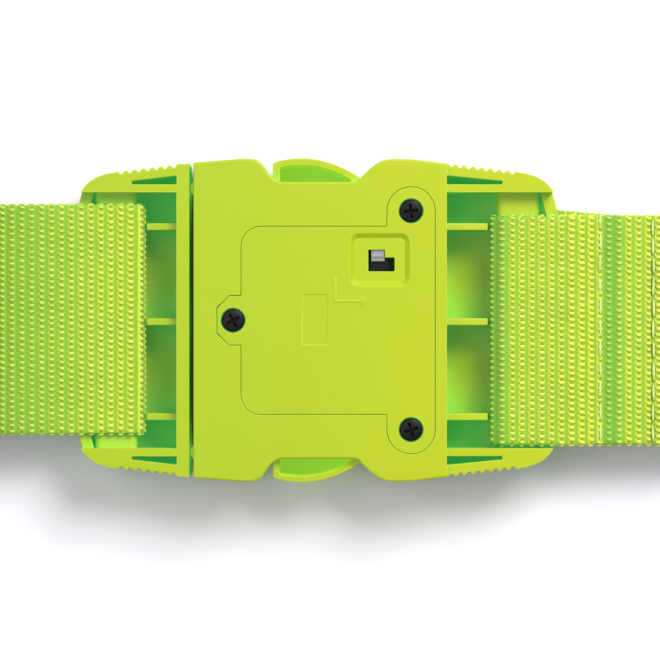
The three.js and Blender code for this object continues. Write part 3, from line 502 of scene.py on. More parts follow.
@dataclass(frozen=True)
class PlainPlastic:
    """A pigmented inner plastic with a fine spark texture."""

    name: str
    tint: Colour
    shade: Colour
    roughness: float = 0.45

    def material(self) -> bpy.types.Material:
        """Builds the material.

        Returns:
            The material.
        """
        s = Shader(self.name)
        grain = s.noise(s.place(), 2600.0, 3.0, 0.6)
        drift = s.noise(s.place(), 90.0)
        tone = s.mixed((drift * 0.8 + grain * 0.2).clamped(), self.tint, self.shade)
        return s.finish(Base_Color=tone, Roughness=(self.roughness + grain * 0.14),
                        Normal=s.bump(grain, 0.00001, 0.6))


@dataclass(frozen=True)
class HookTape:
    """The dark hook-and-loop tape of the roll's tie."""

    name: str = "tie_fabric"
    dark: Colour = (0.008, 0.009, 0.011)
    light: Colour = (0.05, 0.053, 0.06)

    def material(self) -> bpy.types.Material:
        """Builds the material.

        Returns:
            The material.
        """
        s = Shader(self.name)
        nap = s.noise(s.place(), 2400.0, 4.0, 0.7)
        cells = s.node("ShaderNodeTexVoronoi", {}, {"Vector": s.place(), "Scale": 1500.0}, "Distance")
        tone = s.mixed((nap * 0.7 + cells * 0.5).clamped(), self.dark, self.light)
        return s.finish(Base_Color=tone, Roughness=(0.8 + nap * 0.15),
                        Normal=s.bump(cells + nap * 0.4, 0.00015, 0.9), Sheen_Weight=0.3)


class Finish(Enum):
    """Every finish on the object, each built once."""

    LIME = LimePlastic()
    # The prongs' lighter copy of the lime plastic: a shorter reach for painted shade and a much brighter
    # painted light in their hollows, as they sit in shade.
    PRONG = LimePlastic("prong_plastic", reach=0.009, glow=(0.36, 0.50, 0.035))
    WEBBING = Webbing()
    FLOATS = Yarn("float_yarn", (0.86, 0.97, 0.14), (0.46, 0.62, 0.03))
    LOUD_FLOATS = Yarn("seam_float_yarn", (0.92, 0.97, 0.10), (0.56, 0.64, 0.02))
    THREAD = Yarn("stitch_thread", (0.74, 0.84, 0.34), (0.50, 0.62, 0.14), 0.35)
    STEEL = Metal("bright_steel", (0.68, 0.68, 0.70), (0.80, 0.79, 0.80), 0.18)
    BLACK_STEEL = Metal("black_oxide", (0.0015, 0.0016, 0.002), (0.006, 0.0065, 0.008), 0.34, 0.0, 0.22)
    INNER = PlainPlastic("inner_plastic", (0.62, 0.62, 0.58), (0.74, 0.74, 0.70))
    DIAL = PlainPlastic("dial_plastic", (0.010, 0.011, 0.013), (0.022, 0.023, 0.026), 0.34)
    NUMERAL = PlainPlastic("numeral_paint", (0.72, 0.73, 0.70), (0.82, 0.83, 0.80), 0.5)
    TIE = HookTape()

    def material(self) -> bpy.types.Material:
        """The finish's material, made on first use.

        Returns:
            The material.
        """
        found = bpy.data.materials.get(self.value.name + "_made")
        if found is None:
            found = self.value.material()
            found.name = self.value.name + "_made"
        return found


# ---- Mesh tools ---------------------------------------------------------------------------------
def placed(name: str, data: bpy.types.ID) -> bpy.types.Object:
    """Puts a new object in the scene.

    Args:
        name: Its name.
        data: Its mesh, text, light or camera.

    Returns:
        The object.
    """
    thing = bpy.data.objects.new(name, data)
    bpy.context.scene.collection.objects.link(thing)
    return thing


def dressed(mesh: bpy.types.Mesh, name: str, finish: Finish, body: str) -> bpy.types.Object:
    """Puts a finished mesh on the object, riding on its body.

    Args:
        mesh: The mesh, in the row frame, in metres.
        name: The piece's name.
        finish: Its finish.
        body: The CAD body that it moves with, or "" for a piece that blends between two.

    Returns:
        The new object.
    """
    piece = placed(name, mesh)
    mesh.materials.clear()
    mesh.materials.append(finish.material())
    if body:
        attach(piece, body)
    LOG.info("%s: %d faces", name, len(mesh.polygons))
    return piece


def settled(piece: bpy.types.Object, name: str) -> bpy.types.Mesh:
    """Turns an object with live modifiers into a plain mesh and removes the object.

    Args:
        piece: The object.
        name: The new mesh's name.

    Returns:
        The evaluated mesh.
    """
    bpy.context.view_layer.update()
    graph = bpy.context.evaluated_depsgraph_get()
    mesh = bpy.data.meshes.new_from_object(piece.evaluated_get(graph), preserve_all_data_layers=True,
                                           depsgraph=graph)
    mesh.name = name
    bpy.data.objects.remove(piece, do_unlink=True)
    return mesh


def from_bmesh(shape: bmesh.types.BMesh, name: str) -> bpy.types.Mesh:
    """Writes a bmesh into a new mesh and frees it.

    Args:
        shape: The bmesh.
        name: The mesh's name.

    Returns:
        The mesh.
    """
    mesh = bpy.data.meshes.new(name)
    shape.to_mesh(mesh)
    shape.free()
    return mesh


def circle(shape: bmesh.types.BMesh, radius: float, height: float,
           sides: int) -> list[bmesh.types.BMVert]:
    """Adds a ring of corners about the Z axis.

    Args:
        shape: The bmesh that it is added to.
        radius: Its radius.
        height: Its Z.
        sides: How many corners.

    Returns:
        The corners.
    """
    angles = [TURN * i / sides for i in range(sides)]
    return [shape.verts.new((radius * math.cos(a), radius * math.sin(a), height)) for a in angles]


def skin(shape: bmesh.types.BMesh, rings: Sequence[Sequence[bmesh.types.BMVert]],
         closed: bool = False) -> None:
    """Lays four-sided faces between rings that follow each other.

    Args:
        shape: The bmesh that the rings are in.
        rings: The rings, each with as many corners.
        closed: Whether the last joins the first.
    """
    pairs = list(zip(rings, rings[1:])) + ([(rings[-1], rings[0])] if closed else [])
    for first, second in pairs:
        for k, corner in enumerate(first):
            after = (k + 1) % len(first)
            shape.faces.new((corner, first[after], second[after], second[k]))


def cone(shape: bmesh.types.BMesh, ring: Sequence[bmesh.types.BMVert], tip: bmesh.types.BMVert) -> None:
    """Closes a ring with triangles to one corner.

    Args:
        shape: The bmesh that they are in.
        ring: The ring.
        tip: The corner.
    """
    for k, corner in enumerate(ring):
        shape.faces.new((corner, ring[(k + 1) % len(ring)], tip))


def closed_up(shape: bmesh.types.BMesh, name: str) -> bpy.types.Mesh:
    """Points a swept shape's faces outwards and shades its sides smooth and its ends flat.

    Args:
        shape: The bmesh, whose sides have four corners.
        name: The mesh's name.

    Returns:
        The mesh.
    """
    bmesh.ops.recalc_face_normals(shape, faces=shape.faces)
    for face in shape.faces:
        face.smooth = len(face.verts) == 4
    return from_bmesh(shape, name)


ALIGNED = 0.99999
IN_PLANE = 2e-6
SAME_POINT = 1e-7


def flat_region(first: bmesh.types.BMFace, seen: set[bmesh.types.BMFace]) -> list[bmesh.types.BMFace]:
    """Every face that lies in one plane with the first and joins on to it.

    Args:
        first: The first face.
        seen: Faces that are spoken for, which it adds to.

    Returns:
        The faces.
    """
    normal, corner, group, queue = first.normal.copy(), first.verts[0].co, [first], [first]
    seen.add(first)
    while queue:
        for edge in queue.pop().edges:
            for other in edge.link_faces:
                if other in seen or other.normal.dot(normal) <= ALIGNED:
                    continue
                if all(abs((v.co - corner).dot(normal)) < IN_PLANE for v in other.verts):
                    seen.add(other)
                    group.append(other)
                    queue.append(other)
    return group


def inner_tiles(tiles: Sequence[list[int]], flat: Sequence[Vector],
                sides: Sequence[tuple[int, int]]) -> list[list[int]]:
    """The triangles that lie inside an outline.

    Args:
        tiles: Triangles, as numbers of corners.
        flat: The corners.
        sides: The outline's sides, as numbers of corners.

    Returns:
        The triangles whose middles lie inside.
    """
    ends = np.array([[*flat[a], *flat[b]] for a, b in sides])
    kept = []
    for ids in tiles:
        x, y = (sum(flat[i][n] for i in ids) / 3 for n in (0, 1))
        cut = ends[(ends[:, 1] > y) != (ends[:, 3] > y)]
        hits = cut[:, 0] + (y - cut[:, 1]) / (cut[:, 3] - cut[:, 1]) * (cut[:, 2] - cut[:, 0]) > x
        if hits.sum() % 2:
            kept.append(ids)
    return kept


def retiled(shape: bmesh.types.BMesh) -> list[tuple[Vector, Vector]]:
    """Lays fresh triangles over every flat region, inside the outline that it has.

    Args:
        shape: The bmesh, changed in place.

    Returns:
        A normal and a point of each region whose outline crosses itself, which keeps its faces.
    """
    left, seen = [], set()
    for first in list(shape.faces):
        if not first.is_valid or first in seen:
            continue
        normal, point, group = first.normal.copy(), first.verts[0].co.copy(), flat_region(first, seen)
        if len(group) == 1 and len(first.verts) < 5:
            continue
        inside = set(group)
        edges = dict.fromkeys(edge for face in group for edge in face.edges)
        rim = [e for e in edges if sum(f in inside for f in e.link_faces) == 1]
        corners = list(dict.fromkeys(v for e in rim for v in e.verts))
        number = {v: i for i, v in enumerate(corners)}
        turn = normal.to_track_quat("Z", "Y").to_matrix().inverted()
        flat = [(turn @ v.co).to_2d() / MM for v in corners]
        sides = [(number[e.verts[0]], number[e.verts[1]]) for e in rim]
        result = geometry.delaunay_2d_cdt(flat, sides, [], 0, SAME_POINT)
        if len(result[0]) != len(flat) or any(len(source) != 1 for source in result[3]):
            left.append((normal, point))
            continue
        tiles = inner_tiles([[result[3][i][0] for i in tile] for tile in result[2]], flat, sides)
        bmesh.ops.delete(shape, geom=group, context="FACES_KEEP_BOUNDARY")
        for ids in tiles:
            points = [corners[i] for i in ids]
            if (points[1].co - points[0].co).cross(points[2].co - points[0].co).dot(normal) < 0:
                points.reverse()
            seen.add(shape.faces.new(points))
    return left


# ---- Moulded pieces -----------------------------------------------------------------------------
Rounding = Callable[[Vector, Vector, float], float]


@dataclass
class RoundedCopy:
    """A CAD node's shape with its moulded edges rounded.

    Rounding gives an edge's radius in mm from its middle and direction, in mm, and its length.
    """

    node: str
    body: str
    finish: Finish
    slot: str
    rounding: Rounding
    widest: float = 0.8
    steps: int = 3
    sharp: float = 28.0
    crease: float = 50.0
    merge: float = 2e-6
    flatten: float = 1.2
    shortest: float = 0.12
    onward: float = 0.7
    room_share: float = 0.42
    tries: tuple[float, ...] = (0.5, 0.4, 0.0, 0.0)

    def even_out(self, shape: bmesh.types.BMesh, weights: bmesh.types.BMLayerItem) -> None:
        """Gives every run of edges that follow on smoothly the smallest rounding in the run.

        Args:
            shape: The shape.
            weights: Its rounding weights.
        """
        left = {e for e in shape.edges if e[weights] > 0}
        while left:
            queue = [left.pop()]
            run = list(queue)
            while queue:
                edge = queue.pop()
                for corner in edge.verts:
                    out = (corner.co - edge.other_vert(corner).co).normalized()
                    for other in left.intersection(corner.link_edges):
                        on = (other.other_vert(corner).co - corner.co).normalized()
                        if on.dot(out) > self.onward:
                            left.discard(other)
                            run.append(other)
                            queue.append(other)
            least = min(e[weights] for e in run)
            for edge in run:
                edge[weights] = least

    def shaped(self, shape: bmesh.types.BMesh, weights: bmesh.types.BMLayerItem
               ) -> tuple[bpy.types.Mesh, list[tuple[Vector, Vector]]]:
        """Rounds the weighted edges.

        Args:
            shape: The plain shape.
            weights: Its rounding weights.

        Returns:
            The rounded mesh, and the planes where an outline crosses itself.
        """
        for edge in shape.edges:
            edge.smooth = edge[weights] > 0 or len(edge.link_faces) != 2 \
                or math.degrees(edge.calc_face_angle(0.0)) < self.sharp
        plain = bpy.data.meshes.new("shaping")
        shape.to_mesh(plain)
        carrier = placed("shaping", plain)
        bevel = carrier.modifiers.new("rounding", "BEVEL")
        bevel.limit_method = "WEIGHT"
        bevel.width = self.widest * MM
        bevel.segments = self.steps
        bevel.use_clamp_overlap = False
        bevel.miter_outer = "MITER_ARC"
        mesh = settled(carrier, self.node + "_shaped")
        work = bmesh.new()
        work.from_mesh(mesh)
        crossing = retiled(work)
        for face in work.faces:
            face.smooth = True
        for edge in work.edges:
            if len(edge.link_faces) == 2 and edge.calc_face_angle(0.0) > math.radians(self.crease):
                edge.smooth = False
        work.to_mesh(mesh)
        work.free()
        return mesh, crossing

    def room(self, edge: bmesh.types.BMEdge) -> float:
        """The widest rounding that the edges beside this one leave room for.

        Args:
            edge: The edge.

        Returns:
            The radius, in mm.
        """
        along, least = (edge.verts[1].co - edge.verts[0].co).normalized(), self.widest
        for corner in edge.verts:
            for other in corner.link_edges:
                if other is edge:
                    continue
                side = other.other_vert(corner).co - corner.co
                lean = side.normalized().cross(along).length
                if lean > 0.5:
                    least = min(least, self.room_share * side.length / MM * lean)
        return least

    def weigh(self, shape: bmesh.types.BMesh, weights: bmesh.types.BMLayerItem) -> None:
        """Gives each convex edge its share of the widest rounding.

        Args:
            shape: The shape.
            weights: The layer that takes the shares.
        """
        for edge in shape.edges:
            if len(edge.link_faces) != 2:
                continue
            length = edge.calc_length() / MM
            turn = math.degrees(edge.calc_face_angle(0.0))
            if turn < self.sharp or not edge.is_convex or length < self.shortest:
                continue
            middle = (edge.verts[0].co + edge.verts[1].co) / 2 / MM
            along = (edge.verts[1].co - edge.verts[0].co).normalized()
            radius = self.rounding(middle, along, length)
            edge[weights] = min(radius, self.room(edge)) / self.widest if radius > 0 else 0.0

    def build(self) -> bpy.types.Object:
        """Builds the copy and hides the node that it stands for.

        Returns:
            The piece.
        """
        shape = bmesh.new()
        shape.from_mesh(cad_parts[self.node].data)
        bmesh.ops.remove_doubles(shape, verts=shape.verts, dist=self.merge)
        bmesh.ops.dissolve_degenerate(shape, edges=shape.edges, dist=self.merge)
        bmesh.ops.dissolve_limit(shape, angle_limit=math.radians(self.flatten), verts=shape.verts,
                                 edges=shape.edges)
        weights = shape.edges.layers.float.new("bevel_weight_edge")
        self.weigh(shape, weights)
        for share in self.tries:
            self.even_out(shape, weights)
            mesh, crossing = self.shaped(shape, weights)
            if not crossing:
                break
            for normal, point in crossing:
                for edge in shape.edges:
                    if all(abs((v.co - point).dot(normal)) < 1.5 * IN_PLANE for v in edge.verts):
                        edge[weights] *= share
        shape.free()
        carrier = placed("shaping", mesh)
        even = carrier.modifiers.new("even_shading", "WEIGHTED_NORMAL")
        even.keep_sharp = True
        name = self.node + "_rounded"
        piece = dressed(settled(carrier, name), name, self.finish, self.body)
        LOG.info("%s: %d flat faces left as they were", self.node, len(crossing))
        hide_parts(self.node)
        return piece


@dataclass
class Buckle:
    """Housing, cover, male half and prongs, with moulded edges. Sizes are in mm."""

    back: float = 19.7
    frame_x: float = 28.2
    side_y: float = 29.0
    notch_x: float = 13.5
    mouth_x: float = -26.8
    front: float = 2.0

    def outline_rounding(self, middle: Vector, along: Vector, length: float) -> float:
        """The housing's edges: widest round the thumb notches, small at the parting line.

        Args:
            middle: The edge's middle.
            along: Its direction.
            length: Its length.

        Returns:
            The radius.
        """
        outside = abs(middle.y) > self.side_y
        at_back = middle.z > self.back - 0.2
        if middle.x > self.frame_x:
            return 0.18 if length > 0.5 else 0.08
        if outside and at_back and abs(along.z) < 0.3:
            return 0.75 if abs(middle.x) < self.notch_x else 0.5
        if abs(along.z) > 0.9 and outside:
            return 0.35
        if at_back:
            return 0.3 if abs(middle.x - self.mouth_x) < 0.3 else 0.1
        return 0.3 if middle.z < self.front else 0.0

    def cover_rounding(self, middle: Vector, along: Vector, length: float) -> float:
        """The cover's edges are crisp."""
        return 0.12 if middle.z > self.back - 1.0 and length > 0.3 else 0.0

    def frame_rounding(self, middle: Vector, along: Vector, length: float) -> float:
        """The male frame's edges."""
        return 0.2 if length > 0.5 else 0.08

    def prong_rounding(self, middle: Vector, along: Vector, length: float) -> float:
        """The prongs' edges."""
        return 0.3 if length > 0.4 else 0.1

    def build(self) -> None:
        """Builds the moulded pieces."""
        for node, body, finish, rounding, widest, steps in (
                ("housing_body", "housing", Finish.LIME, self.outline_rounding, 0.8, 3),
                ("housing_cover", "housing", Finish.LIME, self.cover_rounding, 0.2, 2),
                ("male_frame", "male", Finish.LIME, self.frame_rounding, 0.3, 2),
                ("upper_prong", "upper_prong", Finish.PRONG, self.prong_rounding, 0.3, 3),
                ("lower_prong", "lower_prong", Finish.PRONG, self.prong_rounding, 0.3, 3)):
            RoundedCopy(node, body, finish, "lime_plastic", rounding, widest, steps).build()


# ---- Repeated pieces ----------------------------------------------------------------------------
@dataclass
class Scatter:
    """A Geometry Nodes tree that sets one small piece on every point of a guide.

    Each guide point carries "along" and "up" directions and a "size" in metres.
    """

    name: str
    jitter: float = 0.0
    seed: int = 1
    inputs: dict[str, str] = field(default_factory=dict)

    def _tree(self) -> bpy.types.NodeTree:
        """Builds the tree with its named inputs.

        Returns:
            The tree.
        """
        tree = bpy.data.node_groups.new(self.name, "GeometryNodeTree")
        face = tree.interface
        face.new_socket("Guide", in_out="INPUT", socket_type="NodeSocketGeometry")
        for label, kind in (("Piece", "Object"), ("Jitter", "Float"), ("Seed", "Int"),
                            ("Finish", "Material")):
            made = face.new_socket(label, in_out="INPUT", socket_type="NodeSocket" + kind)
            self.inputs[label] = made.identifier
        face.new_socket("Pieces", in_out="OUTPUT", socket_type="NodeSocketGeometry")

        def step(kind: str, feeds: dict[str | int, object], out: int | str = 0,
                 **settings: object) -> bpy.types.NodeSocket | None:
            """Adds a node.

            Args:
                kind: Its type.
                feeds: What each input takes, a socket or a value.
                out: Which output to hand back.
                settings: Its settings, which are set first.

            Returns:
                The output, or None for the tree's own end.
            """
            node = tree.nodes.new(kind)
            for key, value in settings.items():
                setattr(node, key, value)
            for key, value in feeds.items():
                if isinstance(value, bpy.types.NodeSocket):
                    tree.links.new(value, node.inputs[key])
                else:
                    node.inputs[key].default_value = value
            return node.outputs[out] if node.outputs else None

        def given(label: str) -> bpy.types.NodeSocket:
            """One of the tree's inputs."""
            return step("NodeGroupInput", {}, label)

        def named(label: str) -> bpy.types.NodeSocket:
            """A vector that the guide carries."""
            return step("GeometryNodeInputNamedAttribute", {"Name": label}, "Attribute",
                        data_type="FLOAT_VECTOR")

        points = step("GeometryNodeMeshToPoints", {"Mesh": given("Guide")}, "Points")
        shape = step("GeometryNodeObjectInfo", {"Object": given("Piece")}, "Geometry")
        turned = step("FunctionNodeAxesToRotation",
                      {"Primary Axis": named("up"), "Secondary Axis": named("along")}, "Rotation",
                      primary_axis="Z", secondary_axis="X")
        chance = step("FunctionNodeRandomValue",
                      {"Min": (-1.0,) * 3, "Max": (1.0,) * 3, "Seed": given("Seed")}, "Value",
                      data_type="FLOAT_VECTOR")
        swing = step("ShaderNodeVectorMath", {0: chance, "Scale": given("Jitter")}, operation="SCALE")
        size = named("size")
        grown = step("ShaderNodeVectorMath", {0: size, 1: swing, 2: size}, operation="MULTIPLY_ADD")
        spread = step("GeometryNodeInstanceOnPoints", {"Points": points, "Instance": shape,
                                                       "Rotation": turned, "Scale": grown}, "Instances")
        real = step("GeometryNodeRealizeInstances", {"Geometry": spread}, "Geometry")
        painted = step("GeometryNodeSetMaterial", {"Geometry": real, "Material": given("Finish")}, "Geometry")
        step("NodeGroupOutput", {"Pieces": painted})
        return tree

    def build(self, template: bpy.types.Mesh, places: Iterable[Spot], finish: Finish) -> bpy.types.Mesh:
        """Sets the template on each place.

        Args:
            template: A mesh one unit across.
            places: A point, the direction along it, its up direction and its size, in metres.
            finish: The pieces' finish.

        Returns:
            One plain mesh.
        """
        spots = list(places)
        labels = {"along": 1, "up": 2, "size": 3}
        guide = bpy.data.meshes.new(self.name + "_guide")
        guide.from_pydata([tuple(s[0]) for s in spots], [], [])
        for label, column in labels.items():
            layer = guide.attributes.new(label, "FLOAT_VECTOR", "POINT")
            layer.data.foreach_set("vector", np.array([tuple(s[column]) for s in spots], np.float32).ravel())
        carrier = placed(self.name + "_guide", guide)
        pattern = placed(self.name + "_pattern", template)
        maker = carrier.modifiers.new("scatter", "NODES")
        maker.node_group = self._tree()
        for label, value in (("Piece", pattern), ("Jitter", self.jitter), ("Seed", self.seed),
                             ("Finish", finish.material())):
            maker[self.inputs[label]] = value
        mesh = settled(carrier, self.name)
        bpy.data.objects.remove(pattern, do_unlink=True)
        for layer in [a.name for a in mesh.attributes if a.name in labels]:
            mesh.attributes.remove(mesh.attributes[layer])
        return mesh


def crowned_bead(sides: int = 8, rings: int = 2, under: float = 0.35) -> bpy.types.Mesh:
    """A low dome one unit long, wide and high: a single float of yarn.

    Args:
        sides: Faces round it.
        rings: Rings from its rim to its crown.
        under: How far its skirt reaches below its rim.

    Returns:
        The mesh.
    """
    shape = bmesh.new()
    lifts = [ring / rings * math.pi / 2 for ring in range(rings)]
    profile = [(0.42, -under)] + [(math.cos(lift) * 0.5, math.sin(lift)) for lift in lifts]
    rows = [circle(shape, reach, height, sides) for reach, height in profile]
    crown = shape.verts.new((0.0, 0.0, 1.0))
    skin(shape, rows)
    cone(shape, rows[-1], crown)
    shape.faces.new(list(reversed(rows[0])))
    for face in shape.faces:
        face.smooth = True
    return from_bmesh(shape, "crowned_bead")


@dataclass
class CoverScrews:
    """Three black cross-recess screws, set by one tree. Sizes are in mm."""

    radius: float = 2.3
    sides: int = 48
    slot_half: float = 0.27
    slot_reach: float = 1.5
    slot_top: Point = (1.06, 0.6)
    slot_floor: Point = (0.62, -0.95)
    crease: float = 35.0
    rise: float = 0.3
    scale: float = 1.08
    turns: Triple = (0.5, 0.12, 0.3)

    def cross(self) -> bpy.types.Mesh:
        """The tapered cross that is cut from a head.

        Returns:
            The mesh.
        """
        shape = bmesh.new()
        w, r = self.slot_half, self.slot_reach
        arm = [(r, -w), (r, w), (w, w)]
        outline = [corner for turned in (arm, [(-y, x) for x, y in arm], [(-x, -y) for x, y in arm],
                                         [(y, -x) for x, y in arm]) for corner in turned]
        top, bottom = ([shape.verts.new((x * share, y * share, z)) for x, y in outline]
                       for share, z in (self.slot_top, self.slot_floor))
        shape.faces.new(top)
        shape.faces.new(list(reversed(bottom)))
        skin(shape, [bottom, top])
        bmesh.ops.recalc_face_normals(shape, faces=shape.faces)
        return from_bmesh(shape, "cross")

    def pattern(self) -> bpy.types.Mesh:
        """One screw head, 1 mm drawn as 1 unit: a domed disc with a tapered cross recess.

        Returns:
            The mesh.
        """
        shape = bmesh.new()
        profile = [(self.radius - 0.4, -1.2), (self.radius, -0.25), (self.radius, -0.05),
                   (self.radius - 0.12, 0.1), (self.radius - 0.45, 0.2), (1.2, 0.28)]
        rings = [circle(shape, r, z, self.sides) for r, z in profile]
        low, high = shape.verts.new((0, 0, -1.2)), shape.verts.new((0, 0, self.rise))
        skin(shape, rings)
        cone(shape, rings[-1], high)
        cone(shape, list(reversed(rings[0])), low)
        head, cross = placed("head", from_bmesh(shape, "head")), placed("cross", self.cross())
        cut = head.modifiers.new("cut", "BOOLEAN")
        cut.operation, cut.solver, cut.object = "DIFFERENCE", "EXACT", cross
        mesh = settled(head, "screw_head")
        bpy.data.objects.remove(cross, do_unlink=True)
        mesh.shade_smooth()
        mesh.set_sharp_from_angle(angle=math.radians(self.crease))
        return mesh

    def build(self) -> bpy.types.Object:
        """Sets the heads in the cover's ears and hides the plain ones.

        Returns:
            The piece.
        """
        spots = []
        for i, turn in enumerate(self.turns, 1):
            low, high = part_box(f"cover_screw_{i}")
            middle = (low + high) / 2
            spots.append((Vector((middle.x, middle.y, high.z - self.rise * MM)),
                          Vector((math.cos(turn), math.sin(turn), 0)), UP,
                          Vector((self.scale, self.scale, 1)) * MM))
        mesh = Scatter("cover_screws").build(self.pattern(), spots, Finish.BLACK_STEEL)
        piece = dressed(mesh, "cover_screws", Finish.BLACK_STEEL, "housing")
        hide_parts("cover_screw_1", "cover_screw_2", "cover_screw_3")
        return piece


# ---- Lock ---------------------------------------------------------------------------------------
@dataclass
class LockWorks:
    """The lock's own parts, which keep their CAD shapes and get their finishes."""

    finishes: dict[Finish, tuple[str, ...]] = field(default_factory=lambda: {
        Finish.LIME: ("front_bezel",),
        Finish.STEEL: ("detent_spring", "reset_lever", "lock_shaft"),
        Finish.DIAL: ("reset_carriage", "dial_1", "dial_2", "dial_3"),
        Finish.INNER: ("upper_lock_bar", "lower_lock_bar", "cam_sleeve_1", "cam_sleeve_2", "cam_sleeve_3")})

    def build(self) -> None:
        """Gives each node its finish."""
        for finish, names in self.finishes.items():
            for name in names:
                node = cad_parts[name]
                if not node.material_slots:
                    node.data.materials.append(finish.material())
                for slot in node.material_slots:
                    slot.link = "OBJECT"
                    slot.material = finish.material()
                LOG.info("%s: finished", name)


@dataclass
class CoilSpring:
    """A compression spring of round wire with closed end coils."""

    node: str
    joint: str
    along: Vector
    fixed_high: bool
    travel: float
    turns: float = 4.0
    wire: float = 0.00024
    steps: int = 22
    sides: int = 8

    def centre_line(self, low: Vector, high: Vector) -> list[tuple[Vector, Vector]]:
        """Points of the wire's centre line, each with the direction away from the coil's axis.

        Args:
            low, high: The corners of the box that the spring fills.

        Returns:
            Pairs of a point and its outward direction.
        """
        side = UP.cross(self.along).normalized()
        size = high - low
        length = abs(size.dot(self.along)) - 2 * self.wire
        radius = size.z / 2 - self.wire
        start = (low + high) / 2 - self.along * (length / 2)
        points = []
        count = int(self.steps * (self.turns + 2))
        for i in range(count + 1):
            turn = (self.turns + 2) * i / count
            closed = min(turn, 1.0) + max(0.0, turn - self.turns - 1)
            rise = closed * 2 * self.wire + (turn - closed) * (length - 4 * self.wire) / self.turns
            out = side * math.cos(TURN * turn) + UP * math.sin(TURN * turn)
            points.append((start + self.along * rise + out * radius, out))
        return points

    def build(self) -> bpy.types.Object:
        """Builds the spring on the housing.

        Returns:
            The piece.
        """
        low, high = (Vector(corner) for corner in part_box(self.node))
        shape = bmesh.new()
        angles = [TURN * k / self.sides for k in range(self.sides)]
        rings = [[shape.verts.new(point + (out * math.cos(a) + self.along * math.sin(a)) * self.wire)
                  for a in angles] for point, out in self.centre_line(low, high)]
        skin(shape, rings)
        shape.faces.new(rings[0])
        shape.faces.new(rings[-1])
        name = self.node + "_coil"
        piece = dressed(closed_up(shape, name), name, Finish.STEEL, "housing")
        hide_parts(self.node)
        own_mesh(piece)
        return piece


@dataclass
class LockSprings:
    """The springs behind both lock bars and on the shaft."""

    bar_travel: float = 0.0043
    shaft_travel: float = 0.0020
    shaft_turns: float = 3.0

    def build(self) -> None:
        """Builds every spring."""
        across, sideways = Vector((0, 1, 0)), Vector((1, 0, 0))
        CoilSpring("upper_bar_spring", "upper_lock_slide", across, False, self.bar_travel).build()
        CoilSpring("lower_bar_spring", "lower_lock_slide", across, True, self.bar_travel).build()
        CoilSpring("shaft_return_spring", "reset_shift", sideways, True, self.shaft_travel,
                   self.shaft_turns).build()


@dataclass
class DialNumerals:
    """The raised digits 0 to 9 round each dial, which turn with it."""

    dials: int = 3
    radius: float = 0.0074
    size: float = 0.0037
    proud: float = 0.00006
    sunk: float = 0.00022

    def digit(self, value: int) -> bmesh.types.BMesh:
        """One digit, lying flat, cut into strips so that it can be bent round the dial.

        Args:
            value: The digit.

        Returns:
            Its shape.
        """
        letter = bpy.data.curves.new("digit", "FONT")
        letter.body, letter.size, letter.extrude = str(value), self.size, (self.proud + self.sunk) / 2
        letter.align_x, letter.align_y, letter.resolution_u = "CENTER", "CENTER", 3
        shape = bmesh.new()
        shape.from_mesh(settled(placed("digit", letter), "digit"))
        bmesh.ops.remove_doubles(shape, verts=shape.verts, dist=SAME_POINT)
        for step in range(-4, 5):
            bmesh.ops.bisect_plane(shape, geom=shape.verts[:] + shape.edges[:] + shape.faces[:], dist=1e-8,
                                   plane_co=(0, step * self.size / 12, 0), plane_no=(0, 1, 0))
        bmesh.ops.recalc_face_normals(shape, faces=shape.faces)
        return shape

    def build(self) -> None:
        """Builds every dial's digits."""
        digits = [self.digit(value) for value in range(10)]
        for dial in (f"dial_{i}" for i in range(1, self.dials + 1)):
            low, high = (Vector(corner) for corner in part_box(dial))
            whole = bmesh.new()
            for value, shape in enumerate(digits):
                copies = {}
                for vert in shape.verts:
                    angle = TURN * value / 10 + math.pi + vert.co.y / self.radius
                    out = self.radius + vert.co.z + (self.proud - self.sunk) / 2
                    offset = Vector((vert.co.x, math.sin(angle) * out, math.cos(angle) * out))
                    copies[vert] = whole.verts.new((low + high) / 2 + offset)
                for face in shape.faces:
                    whole.faces.new([copies[vert] for vert in face.verts])
            bmesh.ops.recalc_face_normals(whole, faces=whole.faces)
            name = dial + "_numerals"
            dressed(from_bmesh(whole, name), name, Finish.NUMERAL, dial)
        for shape in digits:
            shape.free()


